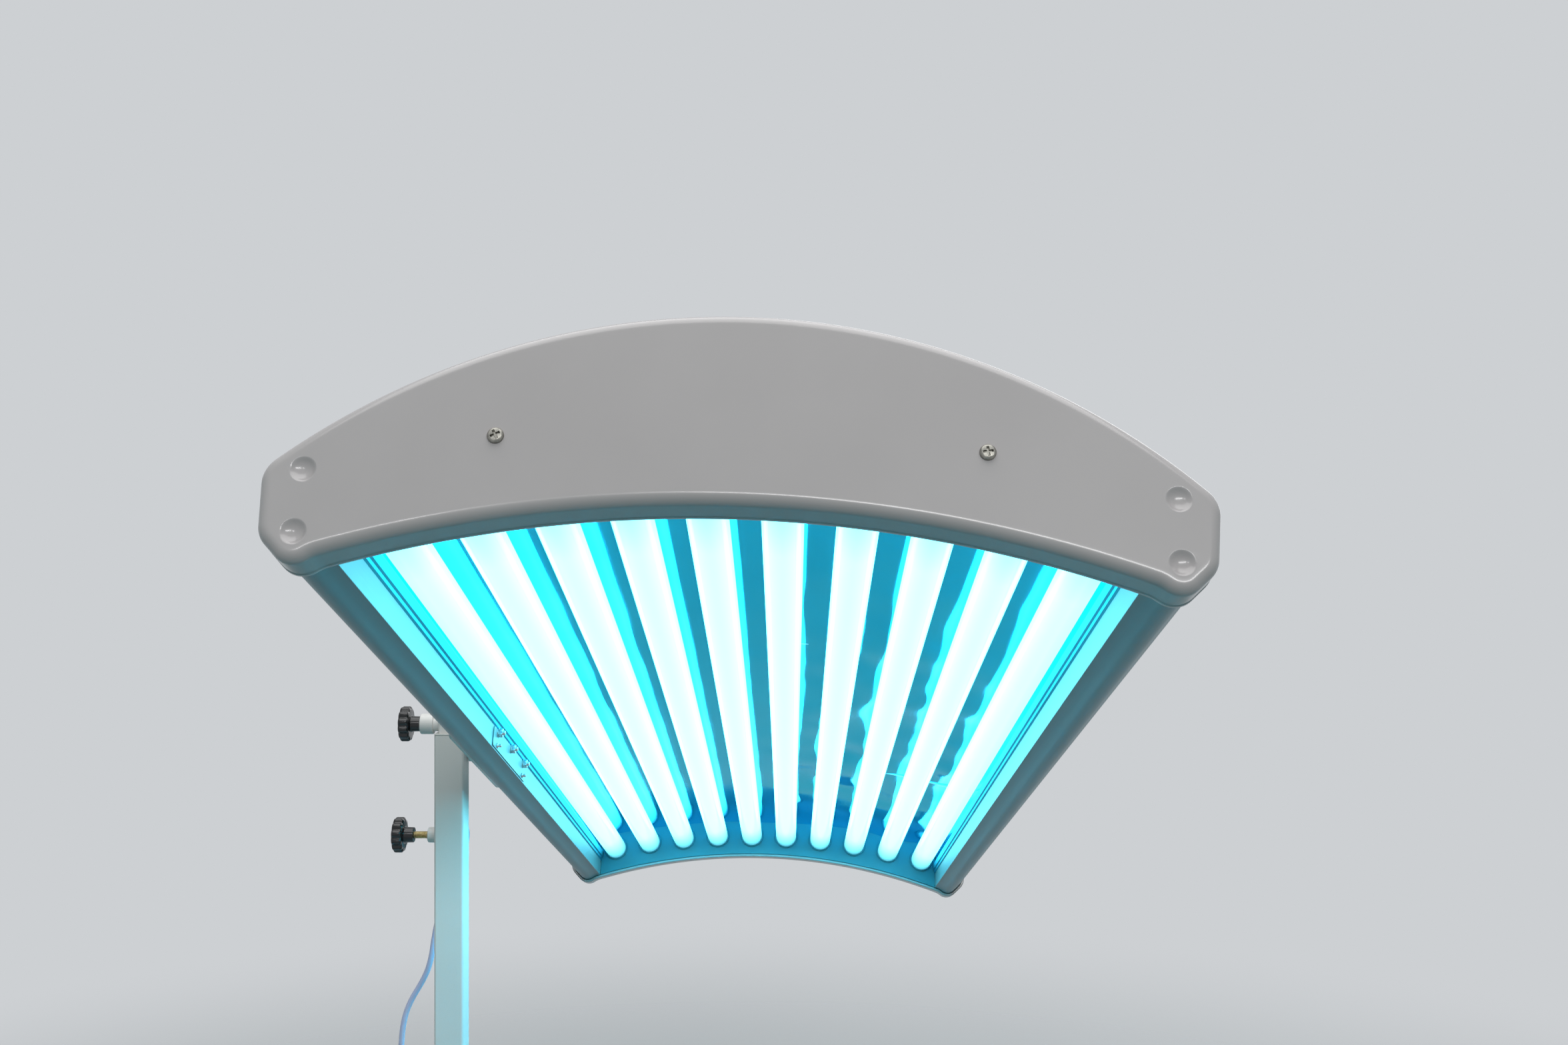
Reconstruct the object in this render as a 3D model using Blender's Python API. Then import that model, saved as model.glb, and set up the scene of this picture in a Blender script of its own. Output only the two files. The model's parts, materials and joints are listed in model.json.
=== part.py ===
"""Tanning canopy on a side post: an arched hood of lamps that tilts on a mast over a rolling stand."""
from math import acos, asin, atan2, ceil, cos, hypot, pi, radians, sin, sqrt

import bmesh
import bpy
from mathutils import Matrix, Vector

# Clearances, in metres like every size below
FIT = 0.0003
RUNNING = 0.0006
SLIP = 0.0008

# Canopy section, seen along its length: x across, z up from the datum under the lamps
CANOPY_LENGTH = 1.920
CANOPY_HALF_WIDTH = 0.3775
CROWN_RADIUS = 0.558
CROWN_HEIGHT = 0.1850
APERTURE_RADIUS = 1.030
APERTURE_HEIGHT = 0.0165
LOWER_CORNER_RADIUS = 0.020
LOWER_CORNER_INSET = 0.0312
LOWER_CORNER_HEIGHT = -0.025
FLANK_SLOPE = radians(45)
SIDE_BEND_RADIUS = 0.023
CORNER_BLEND_RADIUS = 0.030
UPPER_CORNER_RADIUS = 0.022

# End caps and their fixings
CAP_DEPTH = 0.037
CAP_WALL = 0.004
CAP_EDGE_RADIUS = 0.010
DIMPLE_RADIUS = 0.0105
DIMPLE_DEPTH = 0.0028
DIMPLE_INSET = 0.031
DIMPLE_HEIGHTS = (0.030, -0.0217)
SCREW_SPREAD = 0.1966
SCREW_HEIGHT = 0.0668
SCREW_HEAD_RADIUS = 0.0068
SCREW_HEAD_HEIGHT = 0.0034
SCREW_SHANK_RADIUS = 0.0022

# Lamps, their holders and the reflector behind them
LAMP_COUNT = 10
LAMP_RADIUS = 0.019
LAMP_GLASS = 0.0011
LAMP_EDGE = 0.0264
LAMP_ARC_RADIUS = 1.280
LAMP_ARC_HEIGHT = 0.0566
LAMP_CAP_LENGTH = 0.017
LAMP_CAP_STEP = 0.0005
HOLDER_PLATE = 0.002
HOLDER_DEPTH = 0.024
HOLDER_WALL = 0.003
HOLDER_PLAY = 0.0010
REFLECTOR_GAP = 0.0258
REFLECTOR_CORNER = 0.006
REFLECTOR_THICKNESS = 0.001
REFLECTOR_EDGE_HEIGHT = 0.0145

# Side rails, skin and formers
RAIL_INNER_X = 0.3225
RAIL_WALL = 0.0016
RAIL_GROOVE_WIDTH = 0.0014
RAIL_GROOVE_DEPTH = 0.0008
RAIL_GROOVE_HEIGHTS = (0.0068, -0.0006)
SKIN_THICKNESS = 0.0012
SKIN_EDGE_X = 0.335
LEDGE_WIDTH = 0.017
FORMER_THICKNESS = 0.002
FORMER_HALF_WIDTH = 0.310
FORMER_STATION = 0.620
FORMER_HOLE_RADIUS = 0.014
BALLAST_WIDTH = 0.041
BALLAST_HEIGHT = 0.034
BALLAST_LENGTH = 0.150
BALLAST_CHAMFER = 0.004
BALLAST_PLACES = ((0, 1.5), (0, 4.5), (0, 7.5), (1, 3.0), (1, 6.0))

# How the canopy hangs on its pivot
TILT = radians(20.58)
SAG = radians(2.15)
PIVOT_HEIGHT = 1.200
PIVOT_STATION = 0.945
PIVOT_SECTION_HEIGHT = 0.0434

# Bracket between the post side rail and the pivot
FLANGE_NEAR = 0.214
FLANGE_FAR = 0.120
FLANGE_TOP = 0.022
FLANGE_BOTTOM = -0.0210
FLANGE_THICKNESS = 0.004
FLANGE_CLEARANCE = 0.0107
ARM_GAP = 0.0018
ARM_THICKNESS = 0.006
ARM_HUB_RADIUS = 0.028
ARM_FOOT_RADIUS = 0.014
ARM_FOOT = (0.028, -0.032)
HUB_RADIUS = 0.020
HUB_LENGTH = 0.009
SPACER_RADIUS = 0.010
AXLE_RADIUS = 0.008
AXLE_LEFT = 0.030
BACKING_LENGTH = 0.240
BACKING_TOP = -0.0014
BACKING_BOTTOM = -0.0275
BACKING_THICKNESS = 0.0025
BOLT_RADIUS = 0.003
BOLT_HEAD_RADIUS = 0.0058
BOLT_HEAD_HEIGHT = 0.0049
WASHER_RADIUS = 0.0060
WASHER_THICKNESS = 0.0014
BOLT_LEAD = 0.094
BOLT_SPACING = 0.094
BOLT_HEIGHT = -0.0078
BOLT_STEPS = (-1, 0, 1)

# Post: a square mast that telescopes in a square column
COLUMN_WIDTH = 0.040
COLUMN_WALL = 0.002
COLUMN_CORNER = 0.0035
COLUMN_DROP = 0.0138
MAST_WIDTH = 0.030
MAST_WALL = 0.002
MAST_CORNER = 0.0025
MAST_TOP = 0.022
MAST_LENGTH = 0.520
GUIDE_LENGTH = 0.080
GUIDE_RIM = 0.002

# Clamp knobs and the bosses they screw into
KNOB_RADIUS = 0.024
KNOB_LOBES = 12
KNOB_LOBE_DEPTH = 0.0022
KNOB_THICKNESS = 0.0145
KNOB_CHAMFER = 0.0018
KNOB_HUB_RADIUS = 0.0105
KNOB_HUB_LENGTH = 0.013
STUD_RADIUS = 0.005
TILT_BOSS_RADIUS = 0.014
TILT_BOSS_LENGTH = 0.018
TILT_BOSS_NECK_RADIUS = 0.010
TILT_BOSS_NECK_LENGTH = 0.0085
HEIGHT_CLAMP_DROP = 0.1524
HEIGHT_BOSS_RADIUS = 0.0105
HEIGHT_BOSS_LENGTH = 0.0117
HEIGHT_STUD_SHOWN = 0.0193

# Rolling stand
WHEEL_RADIUS = 0.030
WHEEL_WIDTH = 0.022
WHEEL_AXLE_RADIUS = 0.004
FORK_CHEEK = 0.0025
FORK_SIDE_GAP = 0.0015
FORK_LENGTH = 0.030
FORK_PLATE = 0.004
FORK_PLATE_GAP = 0.013
FORK_HEAD_RADIUS = 0.018
FORK_HEAD_HEIGHT = 0.008
FORK_TRAIL = 0.018
BEAM_WIDTH = 0.050
BEAM_HEIGHT = 0.030
BEAM_WALL = 0.002
BEAM_CORNER = 0.005
BEAM_DRAIN_RADIUS = 0.004
POST_FOOT_LENGTH = 0.800
FREE_FOOT_LENGTH = 0.640
FOOT_SPREAD = 0.700
CASTOR_INSET = 0.045
COLUMN_PLATE_LENGTH = 0.120
COLUMN_PLATE_THICKNESS = 0.006

# Mains lead
CORD_RADIUS = 0.004
CORD_STEP = 0.023
GLAND_HEIGHT = 1.040
GLAND_RADIUS = 0.009
GLAND_BODY_LENGTH = 0.010
GLAND_TAPER_LENGTH = 0.030
GLAND_TIP_RADIUS = 0.0055
COIL_CENTRE = (-0.0325, 0.205)
COIL_RADIUS = 0.060
COIL_TURNS = 3
COIL_LOOP_POINTS = 24
COIL_GAP = 0.0006
TAIL_LENGTH = 0.045
PLUG_RADIUS = 0.018
PLUG_LENGTH = 0.046
PLUG_PIN_RADIUS = 0.0024
PLUG_PIN_LENGTH = 0.019
PLUG_PIN_SPREAD = 0.0095

# Fineness of round forms
LAMP_SIDES = 16
HOLDER_SIDES = 14
BOSS_SIDES = 16
WHEEL_SIDES = 16
SMALL_SIDES = 12

# Sizes that follow from the ones above
BODY_INSET = CAP_WALL + SLIP
CROWN_CENTRE = (0.0, CROWN_HEIGHT - CROWN_RADIUS)
APERTURE_CENTRE = (0.0, APERTURE_HEIGHT - APERTURE_RADIUS)
LAMP_ARC_CENTRE = (0.0, LAMP_ARC_HEIGHT - LAMP_ARC_RADIUS)
LAMP_STEP = 2 * asin((RAIL_INNER_X - LAMP_EDGE) / LAMP_ARC_RADIUS) / (LAMP_COUNT - 1)
REFLECTOR_RADIUS = LAMP_ARC_RADIUS + REFLECTOR_GAP
LOWER_CENTRE = (CANOPY_HALF_WIDTH - LOWER_CORNER_INSET, LOWER_CORNER_HEIGHT)
SIDE_BEND_X = CANOPY_HALF_WIDTH - SIDE_BEND_RADIUS
SIDE_BEND_RISE = (SIDE_BEND_X - LOWER_CENTRE[0]) * cos(FLANK_SLOPE) + SIDE_BEND_RADIUS - LOWER_CORNER_RADIUS
SIDE_BEND_CENTRE = (SIDE_BEND_X, LOWER_CORNER_HEIGHT + SIDE_BEND_RISE / sin(FLANK_SLOPE))
RAIL_OUTER_X = CANOPY_HALF_WIDTH - BODY_INSET
REBATE_X = RAIL_INNER_X + REFLECTOR_THICKNESS + FIT
HOLDER_RADIUS = LAMP_RADIUS + HOLDER_PLAY
HOLDER_BOTTOM = CAP_DEPTH - HOLDER_DEPTH
LEDGE_INSET = BODY_INSET + SKIN_THICKNESS + FIT
BODY_START = CAP_EDGE_RADIUS
BEAM_BOTTOM = 2 * WHEEL_RADIUS + FORK_PLATE_GAP + FORK_PLATE + FORK_HEAD_HEIGHT + FIT
BEAM_TOP = BEAM_BOTTOM + BEAM_HEIGHT
COLUMN_TOP = PIVOT_HEIGHT - COLUMN_DROP
COLUMN_HALF = COLUMN_WIDTH / 2
MAST_HALF = MAST_WIDTH / 2
ARM_LEFT = COLUMN_HALF + ARM_GAP
ARM_RIGHT = ARM_LEFT + ARM_THICKNESS
HUB_RIGHT = ARM_RIGHT + HUB_LENGTH
FLANGE_X = -RAIL_OUTER_X - FIT
CANOPY_REACH = HUB_RIGHT + FLANGE_CLEARANCE + FLANGE_THICKNESS - FLANGE_X
FORMER_STATIONS = (FORMER_STATION, CANOPY_LENGTH - FORMER_STATION)
CORD_NODES = ("cord_gland", "power_cord", "cord_coil", "mains_plug")


def linear(code):
    """Turn an sRGB hex colour into linear values."""
    channels = [int(code[i:i + 2], 16) / 255 for i in (0, 2, 4)]
    return [c / 12.92 if c <= 0.04045 else ((c + 0.055) / 1.055) ** 2.4 for c in channels]


def finish(name, code, roughness, metallic=0.0):
    """Make a Principled material."""
    material = bpy.data.materials.new(name)
    material.use_nodes = True
    shader = material.node_tree.nodes["Principled BSDF"]
    shader.inputs["Base Color"].default_value = (*linear(code), 1.0)
    shader.inputs["Roughness"].default_value = roughness
    shader.inputs["Metallic"].default_value = metallic
    return material


def frame_empty(name, parent=None, location=(0, 0, 0), rotation=(0, 0, 0)):
    """Add an empty that carries a group of pieces."""
    empty = bpy.data.objects.new(name, None)
    empty.location = location
    empty.rotation_euler = rotation
    empty.parent = parent
    bpy.context.collection.objects.link(empty)
    return empty


def face_out(shape):
    """Point every face of a closed shape outwards."""
    bmesh.ops.recalc_face_normals(shape, faces=shape.faces)
    if shape.calc_volume(signed=True) < 0:
        bmesh.ops.reverse_faces(shape, faces=shape.faces)


def piece(name, shape, material, parent):
    """Turn a bmesh into a named, smooth shaded object under its parent."""
    face_out(shape)
    mesh = bpy.data.meshes.new(name)
    shape.to_mesh(mesh)
    shape.free()
    mesh.materials.append(material)
    mesh.shade_smooth()
    mesh.set_sharp_from_angle(angle=radians(32))
    item = bpy.data.objects.new(name, mesh)
    item.parent = parent
    bpy.context.collection.objects.link(item)
    return item


def combine(item, other_shape, operation):
    """Join or cut an object with a second solid, and keep the result as its mesh."""
    face_out(other_shape)
    mesh = bpy.data.meshes.new("tool")
    other_shape.to_mesh(mesh)
    other_shape.free()
    tool = bpy.data.objects.new("tool", mesh)
    tool.parent = item.parent
    bpy.context.collection.objects.link(tool)
    step = item.modifiers.new("step", "BOOLEAN")
    step.operation = operation
    step.object = tool
    bpy.context.view_layer.update()
    evaluated = item.evaluated_get(bpy.context.evaluated_depsgraph_get())
    result = bpy.data.meshes.new_from_object(evaluated)
    item.modifiers.remove(step)
    bpy.data.objects.remove(tool, do_unlink=True)
    item.data = result
    result.name = item.name
    result.shade_smooth()
    result.set_sharp_from_angle(angle=radians(32))


def arc(centre, radius, start, end, steps):
    """Points along an arc in a plane, both ends included."""
    points = []
    for i in range(steps + 1):
        angle = start + (end - start) * i / steps
        points.append((centre[0] + radius * cos(angle), centre[1] + radius * sin(angle)))
    return points


def circles_meet(first, first_radius, second, second_radius):
    """The crossing of two circles that lies to the left of the line from the first to the second."""
    dx = second[0] - first[0]
    dz = second[1] - first[1]
    gap = hypot(dx, dz)
    along = (gap * gap + first_radius ** 2 - second_radius ** 2) / (2 * gap)
    off = sqrt(first_radius ** 2 - along ** 2)
    x = first[0] + (along * dx - off * dz) / gap
    z = first[1] + (along * dz + off * dx) / gap
    return (x, z)


def rounded_rectangle(half_width, half_height, corner, steps=3):
    """A rectangle with round corners, centred on the origin."""
    points = []
    for turn, (sx, sz) in enumerate(((1, 1), (-1, 1), (-1, -1), (1, -1))):
        centre = (sx * (half_width - corner), sz * (half_height - corner))
        points += arc(centre, corner, turn * pi / 2, (turn + 1) * pi / 2, steps)
    return points


def placed(axis, u, v, along):
    """A point from two coordinates across an axis and one along it."""
    return {"X": (along, u, v), "Y": (u, along, v), "Z": (u, v, along)}[axis]


def fill(shape, loops):
    """Fill the first loop of points, less the loops inside it."""
    edges = []
    for loop in loops:
        for first, second in zip(loop, loop[1:] + loop[:1]):
            edges.append(shape.edges.new((first, second)))
    bmesh.ops.triangle_fill(shape, edges=edges, use_beauty=True)


def wall(shape, lower, upper):
    """Join two loops that have as many points each."""
    for i in range(len(lower)):
        j = (i + 1) % len(lower)
        shape.faces.new((lower[i], lower[j], upper[j], upper[i]))


def add_prism(shape, outline, start, end, axis, holes=()):
    """Extrude an outline, less its holes, along an axis."""
    ends = []
    for along in (start, end):
        loops = [[shape.verts.new(placed(axis, u, v, along)) for u, v in loop] for loop in (outline, *holes)]
        if holes:
            fill(shape, loops)
        else:
            shape.faces.new(loops[0])
        ends.append(loops)
    for lower, upper in zip(*ends):
        wall(shape, lower, upper)


def add_loft(shape, rings):
    """Skin a run of rings that have as many points each, and close both ends."""
    loops = [[shape.verts.new(point) for point in ring] for ring in rings]
    for lower, upper in zip(loops, loops[1:]):
        wall(shape, lower, upper)
    shape.faces.new(loops[0])
    shape.faces.new(loops[-1])


def add_lathe(shape, profile, sides, axis, centre=(0, 0), phase=0.0):
    """Turn a closed profile of (radius, along) points round an axis through the centre."""
    verts = []
    for radius, along in profile:
        u = centre[0] + radius * cos(phase)
        v = centre[1] + radius * sin(phase)
        verts.append(shape.verts.new(placed(axis, u, v, along)))
    edges = []
    for first, second in zip(verts, verts[1:] + verts[:1]):
        edges.append(shape.edges.new((first, second)))
    direction = Vector(placed(axis, 0, 0, 1))
    bmesh.ops.spin(shape, geom=verts + edges, cent=placed(axis, *centre, 0), axis=direction,
                   angle=2 * pi, steps=sides, use_merge=True)
    bmesh.ops.remove_doubles(shape, verts=shape.verts, dist=1e-6)
    loose = [edge for edge in shape.edges if not edge.link_faces]
    bmesh.ops.delete(shape, geom=loose, context="EDGES")


def ribbon(points, thickness):
    """The closed outline of a sheet of even thickness, from the line along its middle."""
    near, far = [], []
    last = len(points) - 1
    for i, (x, z) in enumerate(points):
        before = points[max(i - 1, 0)]
        after = points[min(i + 1, last)]
        ahead = Vector((after[0] - x, after[1] - z)).normalized() if i < last else None
        behind = Vector((x - before[0], z - before[1])).normalized() if i > 0 else None
        run = ((ahead or behind) + (behind or ahead)).normalized()
        normal = Vector((-run.y, run.x))
        bend = normal.dot(Vector((-(ahead or behind).y, (ahead or behind).x)))
        reach = thickness / 2 / bend
        near.append((x + normal.x * reach, z + normal.y * reach))
        far.append((x - normal.x * reach, z - normal.y * reach))
    return near + far[::-1]


def smooth_route(points, step):
    """Even points along a smooth curve through a route."""
    route = [Vector(point) for point in points]
    route = [2 * route[0] - route[1], *route, 2 * route[-1] - route[-2]]
    dense = []
    for a, b, c, d in zip(route, route[1:], route[2:], route[3:]):
        for i in range(12):
            t = i / 12
            dense.append(0.5 * (2 * b + (c - a) * t + (2 * a - 5 * b + 4 * c - d) * t * t
                                + (3 * b - a - 3 * c + d) * t ** 3))
    dense.append(route[-2])
    lengths = [0.0]
    for first, second in zip(dense, dense[1:]):
        lengths.append(lengths[-1] + (second - first).length)
    count = ceil(lengths[-1] / step)
    even = []
    spot = 0
    for k in range(count + 1):
        target = lengths[-1] * k / count
        while spot < len(lengths) - 2 and lengths[spot + 1] < target:
            spot += 1
        share = (target - lengths[spot]) / (lengths[spot + 1] - lengths[spot])
        even.append(dense[spot].lerp(dense[spot + 1], share))
    return even


def tube(name, points, radius, resolution, material, parent):
    """A round tube along a run of points, with closed ends."""
    curve = bpy.data.curves.new(name, "CURVE")
    curve.dimensions = "3D"
    curve.bevel_depth = radius
    curve.bevel_resolution = resolution
    curve.use_fill_caps = True
    spline = curve.splines.new("POLY")
    spline.points.add(len(points) - 1)
    for spot, point in zip(spline.points, points):
        spot.co = (*point, 1.0)
    curve.materials.append(material)
    item = bpy.data.objects.new(name, curve)
    item.parent = parent
    bpy.context.collection.objects.link(item)
    return item


# The section's round corners: centres and tangent directions that every inset copy shares
UPPER_X = CANOPY_HALF_WIDTH - UPPER_CORNER_RADIUS
UPPER_CENTRE = (UPPER_X, CROWN_CENTRE[1] + sqrt((CROWN_RADIUS - UPPER_CORNER_RADIUS) ** 2 - UPPER_X ** 2))
BLEND_CENTRE = circles_meet(APERTURE_CENTRE, APERTURE_RADIUS - CORNER_BLEND_RADIUS,
                            LOWER_CENTRE, LOWER_CORNER_RADIUS + CORNER_BLEND_RADIUS)
APERTURE_END = atan2(BLEND_CENTRE[1] - APERTURE_CENTRE[1], BLEND_CENTRE[0])
BLEND_END = atan2(LOWER_CENTRE[1] - BLEND_CENTRE[1], LOWER_CENTRE[0] - BLEND_CENTRE[0])
CROWN_END = atan2(UPPER_CENTRE[1] - CROWN_CENTRE[1], UPPER_CENTRE[0])


def crown_angle(x, inset):
    """Where the crown arc of an inset section stands over x."""
    return acos(x / (CROWN_RADIUS - inset))


def crown_height(x, inset):
    """Height of the crown arc of an inset section over x."""
    return CROWN_CENTRE[1] + sqrt((CROWN_RADIUS - inset) ** 2 - x * x)


def corner_run(inset):
    """The right hand corners of the section: lower corner, sloping flank, straight side and upper corner."""
    points = arc(LOWER_CENTRE, LOWER_CORNER_RADIUS - inset, BLEND_END - pi, -FLANK_SLOPE, 4)
    points += arc(SIDE_BEND_CENTRE, SIDE_BEND_RADIUS - inset, -FLANK_SLOPE, 0.0, 3)
    return points + arc(UPPER_CENTRE, UPPER_CORNER_RADIUS - inset, 0.0, CROWN_END, 3)


def canopy_outline(inset):
    """The whole outline of the canopy's end, moved inwards by the inset."""
    half = arc(APERTURE_CENTRE, APERTURE_RADIUS + inset, pi / 2, APERTURE_END, 7)
    half += arc(BLEND_CENTRE, CORNER_BLEND_RADIUS + inset, APERTURE_END, BLEND_END, 2)[1:]
    half += corner_run(inset)[1:]
    half += arc(CROWN_CENTRE, CROWN_RADIUS - inset, CROWN_END, pi / 2, 9)[1:]
    return half + [(-x, z) for x, z in half[-2:0:-1]]


def canopy_point(x, station, z):
    """A point of the section at a station from the near face, in the frame of the pivot."""
    return Vector((CANOPY_REACH + x, station - PIVOT_STATION, z - PIVOT_SECTION_HEIGHT))


def to_canopy(shape, far_end=False):
    """Move a shape from section coordinates to the frame of the pivot, turned round for the far end."""
    if far_end:
        turn = Matrix.Translation((0, CANOPY_LENGTH, 0)) @ Matrix.Rotation(pi, 4, "Z")
        bmesh.ops.transform(shape, matrix=turn, verts=shape.verts)
    bmesh.ops.translate(shape, verts=shape.verts, vec=canopy_point(0, 0, 0))
    return shape


def lamp_place(index):
    """Centre of a lamp in the section. Lamps stand on a shallow arc at an even pitch."""
    angle = (index - (LAMP_COUNT - 1) / 2) * LAMP_STEP
    height = LAMP_ARC_HEIGHT - LAMP_ARC_RADIUS * (1 - cos(angle))
    return (LAMP_ARC_RADIUS * sin(angle), height)


# Start from an empty scene
for old in list(bpy.data.objects):
    bpy.data.objects.remove(old, do_unlink=True)

# Finishes
white_abs = finish("white_abs", "E4E4E2", 0.28)
white_enamel = finish("white_enamel", "DADAD6", 0.35)
grey_abs = finish("grey_abs", "868C8F", 0.40)
mill_aluminium = finish("mill_aluminium", "C3C7C9", 0.32, 1.0)
bright_aluminium = finish("bright_aluminium", "DDE1E3", 0.10, 1.0)
lamp_glass = finish("lamp_glass", "EAF6FA", 0.15)
zinc_steel = finish("zinc_steel", "B9BCBD", 0.30, 1.0)
yellow_zinc = finish("yellow_zinc", "BFA24A", 0.35, 1.0)
ballast_enamel = finish("ballast_enamel", "6F7478", 0.50)
black_moulding = finish("black_moulding", "101214", 0.25)
guide_plastic = finish("guide_plastic", "D6D6D2", 0.45)
wheel_rubber = finish("wheel_rubber", "3A3C3E", 0.60)
white_pvc = finish("white_pvc", "DCDCE4", 0.40)

# Frames that carry the pieces: the stand, the mast, the tilting pivot and the sagging canopy on it
stand = frame_empty("stand")
mast_frame = frame_empty("mast_frame", stand, (0, 0, PIVOT_HEIGHT))
tilt_frame = frame_empty("tilt_frame", mast_frame, rotation=(-TILT, 0, 0))
canopy_frame = frame_empty("canopy_frame", tilt_frame, rotation=(0, SAG, 0))

# End caps: shallow moulded trays with a rolled edge, dished corners and two screw holes
DIMPLE_X = CANOPY_HALF_WIDTH - DIMPLE_INSET


def end_cap(name, far_end):
    rings = []
    inner_radius = CAP_EDGE_RADIUS - CAP_WALL
    for share in (1.0, 0.5, 0.0):
        angle = share * pi / 2
        inset = CAP_EDGE_RADIUS - inner_radius * cos(angle)
        rings.append((inset, CAP_EDGE_RADIUS - inner_radius * sin(angle)))
    rings += [(CAP_WALL, CAP_DEPTH), (0.0, CAP_DEPTH)]
    for share in (0.0, 0.5, 1.0):
        angle = share * pi / 2
        rings.append((CAP_EDGE_RADIUS * (1 - cos(angle)), CAP_EDGE_RADIUS * (1 - sin(angle))))
    shape = bmesh.new()
    add_loft(shape, [[(x, y, z) for x, z in canopy_outline(inset)] for inset, y in rings])
    item = piece(name, to_canopy(shape, far_end), white_abs, canopy_frame)
    cutter = bmesh.new()
    dish = [(0, DIMPLE_DEPTH), (0.55 * DIMPLE_RADIUS, 0.7 * DIMPLE_DEPTH), (DIMPLE_RADIUS, 0),
            (DIMPLE_RADIUS, -CAP_WALL), (0, -CAP_WALL)]
    hole_radius = SCREW_SHANK_RADIUS + FIT
    hole = [(0, -CAP_WALL), (hole_radius, -CAP_WALL), (hole_radius, 2 * CAP_WALL), (0, 2 * CAP_WALL)]
    for side in (-1, 1):
        for height in DIMPLE_HEIGHTS:
            add_lathe(cutter, dish, SMALL_SIDES, "Y", (side * DIMPLE_X, height))
        add_lathe(cutter, hole, SMALL_SIDES, "Y", (side * SCREW_SPREAD, SCREW_HEIGHT))
    combine(item, to_canopy(cutter, far_end), "DIFFERENCE")


end_cap("near_end_cap", False)
end_cap("far_end_cap", True)


# Cap screws: domed heads on long shanks that reach the lamp panel behind the cap
def cap_screw(name, side, far_end):
    shank_end = CAP_DEPTH - HOLDER_PLATE - FIT
    profile = [(0, -SCREW_HEAD_HEIGHT), (0.6 * SCREW_HEAD_RADIUS, -0.86 * SCREW_HEAD_HEIGHT),
               (SCREW_HEAD_RADIUS, -0.35 * SCREW_HEAD_HEIGHT), (SCREW_HEAD_RADIUS, -FIT),
               (SCREW_SHANK_RADIUS, -FIT), (SCREW_SHANK_RADIUS, shank_end), (0, shank_end)]
    shape = bmesh.new()
    add_lathe(shape, profile, SMALL_SIDES, "Y", (side * SCREW_SPREAD, SCREW_HEIGHT))
    piece(name, to_canopy(shape, far_end), zinc_steel, canopy_frame)


for end_name, at_far_end in (("near", False), ("far", True)):
    cap_screw(end_name + "_cap_screw_left", -1, at_far_end)
    cap_screw(end_name + "_cap_screw_right", 1, at_far_end)


# Lamp panels: the inner end walls, each with a blind holder for every lamp
def lamp_panel(name, far_end):
    side_x = RAIL_INNER_X - FIT
    lip_x = SKIN_EDGE_X - LEDGE_WIDTH - FIT
    lip_under = crown_height(lip_x, LEDGE_INSET + RAIL_WALL) - LEDGE_WIDTH / 2
    floor_radius = APERTURE_RADIUS + BODY_INSET
    half = arc(APERTURE_CENTRE, floor_radius, pi / 2, acos(side_x / floor_radius), 6)
    half += [(side_x, lip_under), (lip_x, lip_under)]
    half += arc(CROWN_CENTRE, CROWN_RADIUS - LEDGE_INSET, crown_angle(lip_x, LEDGE_INSET), pi / 2, 7)
    outline = half + [(-x, z) for x, z in half[-2:0:-1]]
    shape = bmesh.new()

    def ring(loop, station):
        return [shape.verts.new((x, station, z)) for x, z in loop]

    faces = []
    for station, radius, bottom in ((CAP_DEPTH, HOLDER_RADIUS, HOLDER_BOTTOM),
                                    (CAP_DEPTH - HOLDER_PLATE, HOLDER_RADIUS + HOLDER_WALL,
                                     HOLDER_BOTTOM - HOLDER_WALL)):
        circles = [arc(lamp_place(k), radius, 0, 2 * pi, HOLDER_SIDES)[:-1] for k in range(LAMP_COUNT)]
        loops = [ring(loop, station) for loop in (outline, *circles)]
        fill(shape, loops)
        for circle, mouth in zip(circles, loops[1:]):
            floor = ring(circle, bottom)
            wall(shape, mouth, floor)
            shape.faces.new(floor)
        faces.append(loops[0])
    wall(shape, *faces)
    piece(name, to_canopy(shape, far_end), grey_abs, canopy_frame)


lamp_panel("near_lamp_panel", False)
lamp_panel("far_lamp_panel", True)


# Lamps: long glass tubes with a stepped metal cap at each end
def lamp(index):
    start = HOLDER_BOTTOM + FIT
    end = CANOPY_LENGTH - start
    cap_radius = LAMP_RADIUS - LAMP_CAP_STEP
    inner = LAMP_RADIUS - LAMP_GLASS
    profile = [(cap_radius, start), (cap_radius, start + LAMP_CAP_LENGTH),
               (LAMP_RADIUS, start + LAMP_CAP_LENGTH + LAMP_CAP_STEP),
               (LAMP_RADIUS, end - LAMP_CAP_LENGTH - LAMP_CAP_STEP),
               (cap_radius, end - LAMP_CAP_LENGTH), (cap_radius, end), (inner, end), (inner, start)]
    shape = bmesh.new()
    add_lathe(shape, profile, LAMP_SIDES, "Y", lamp_place(index))
    piece(f"lamp_{index + 1:02d}", to_canopy(shape), lamp_glass, canopy_frame)


for lamp_index in range(LAMP_COUNT):
    lamp(lamp_index)


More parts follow.
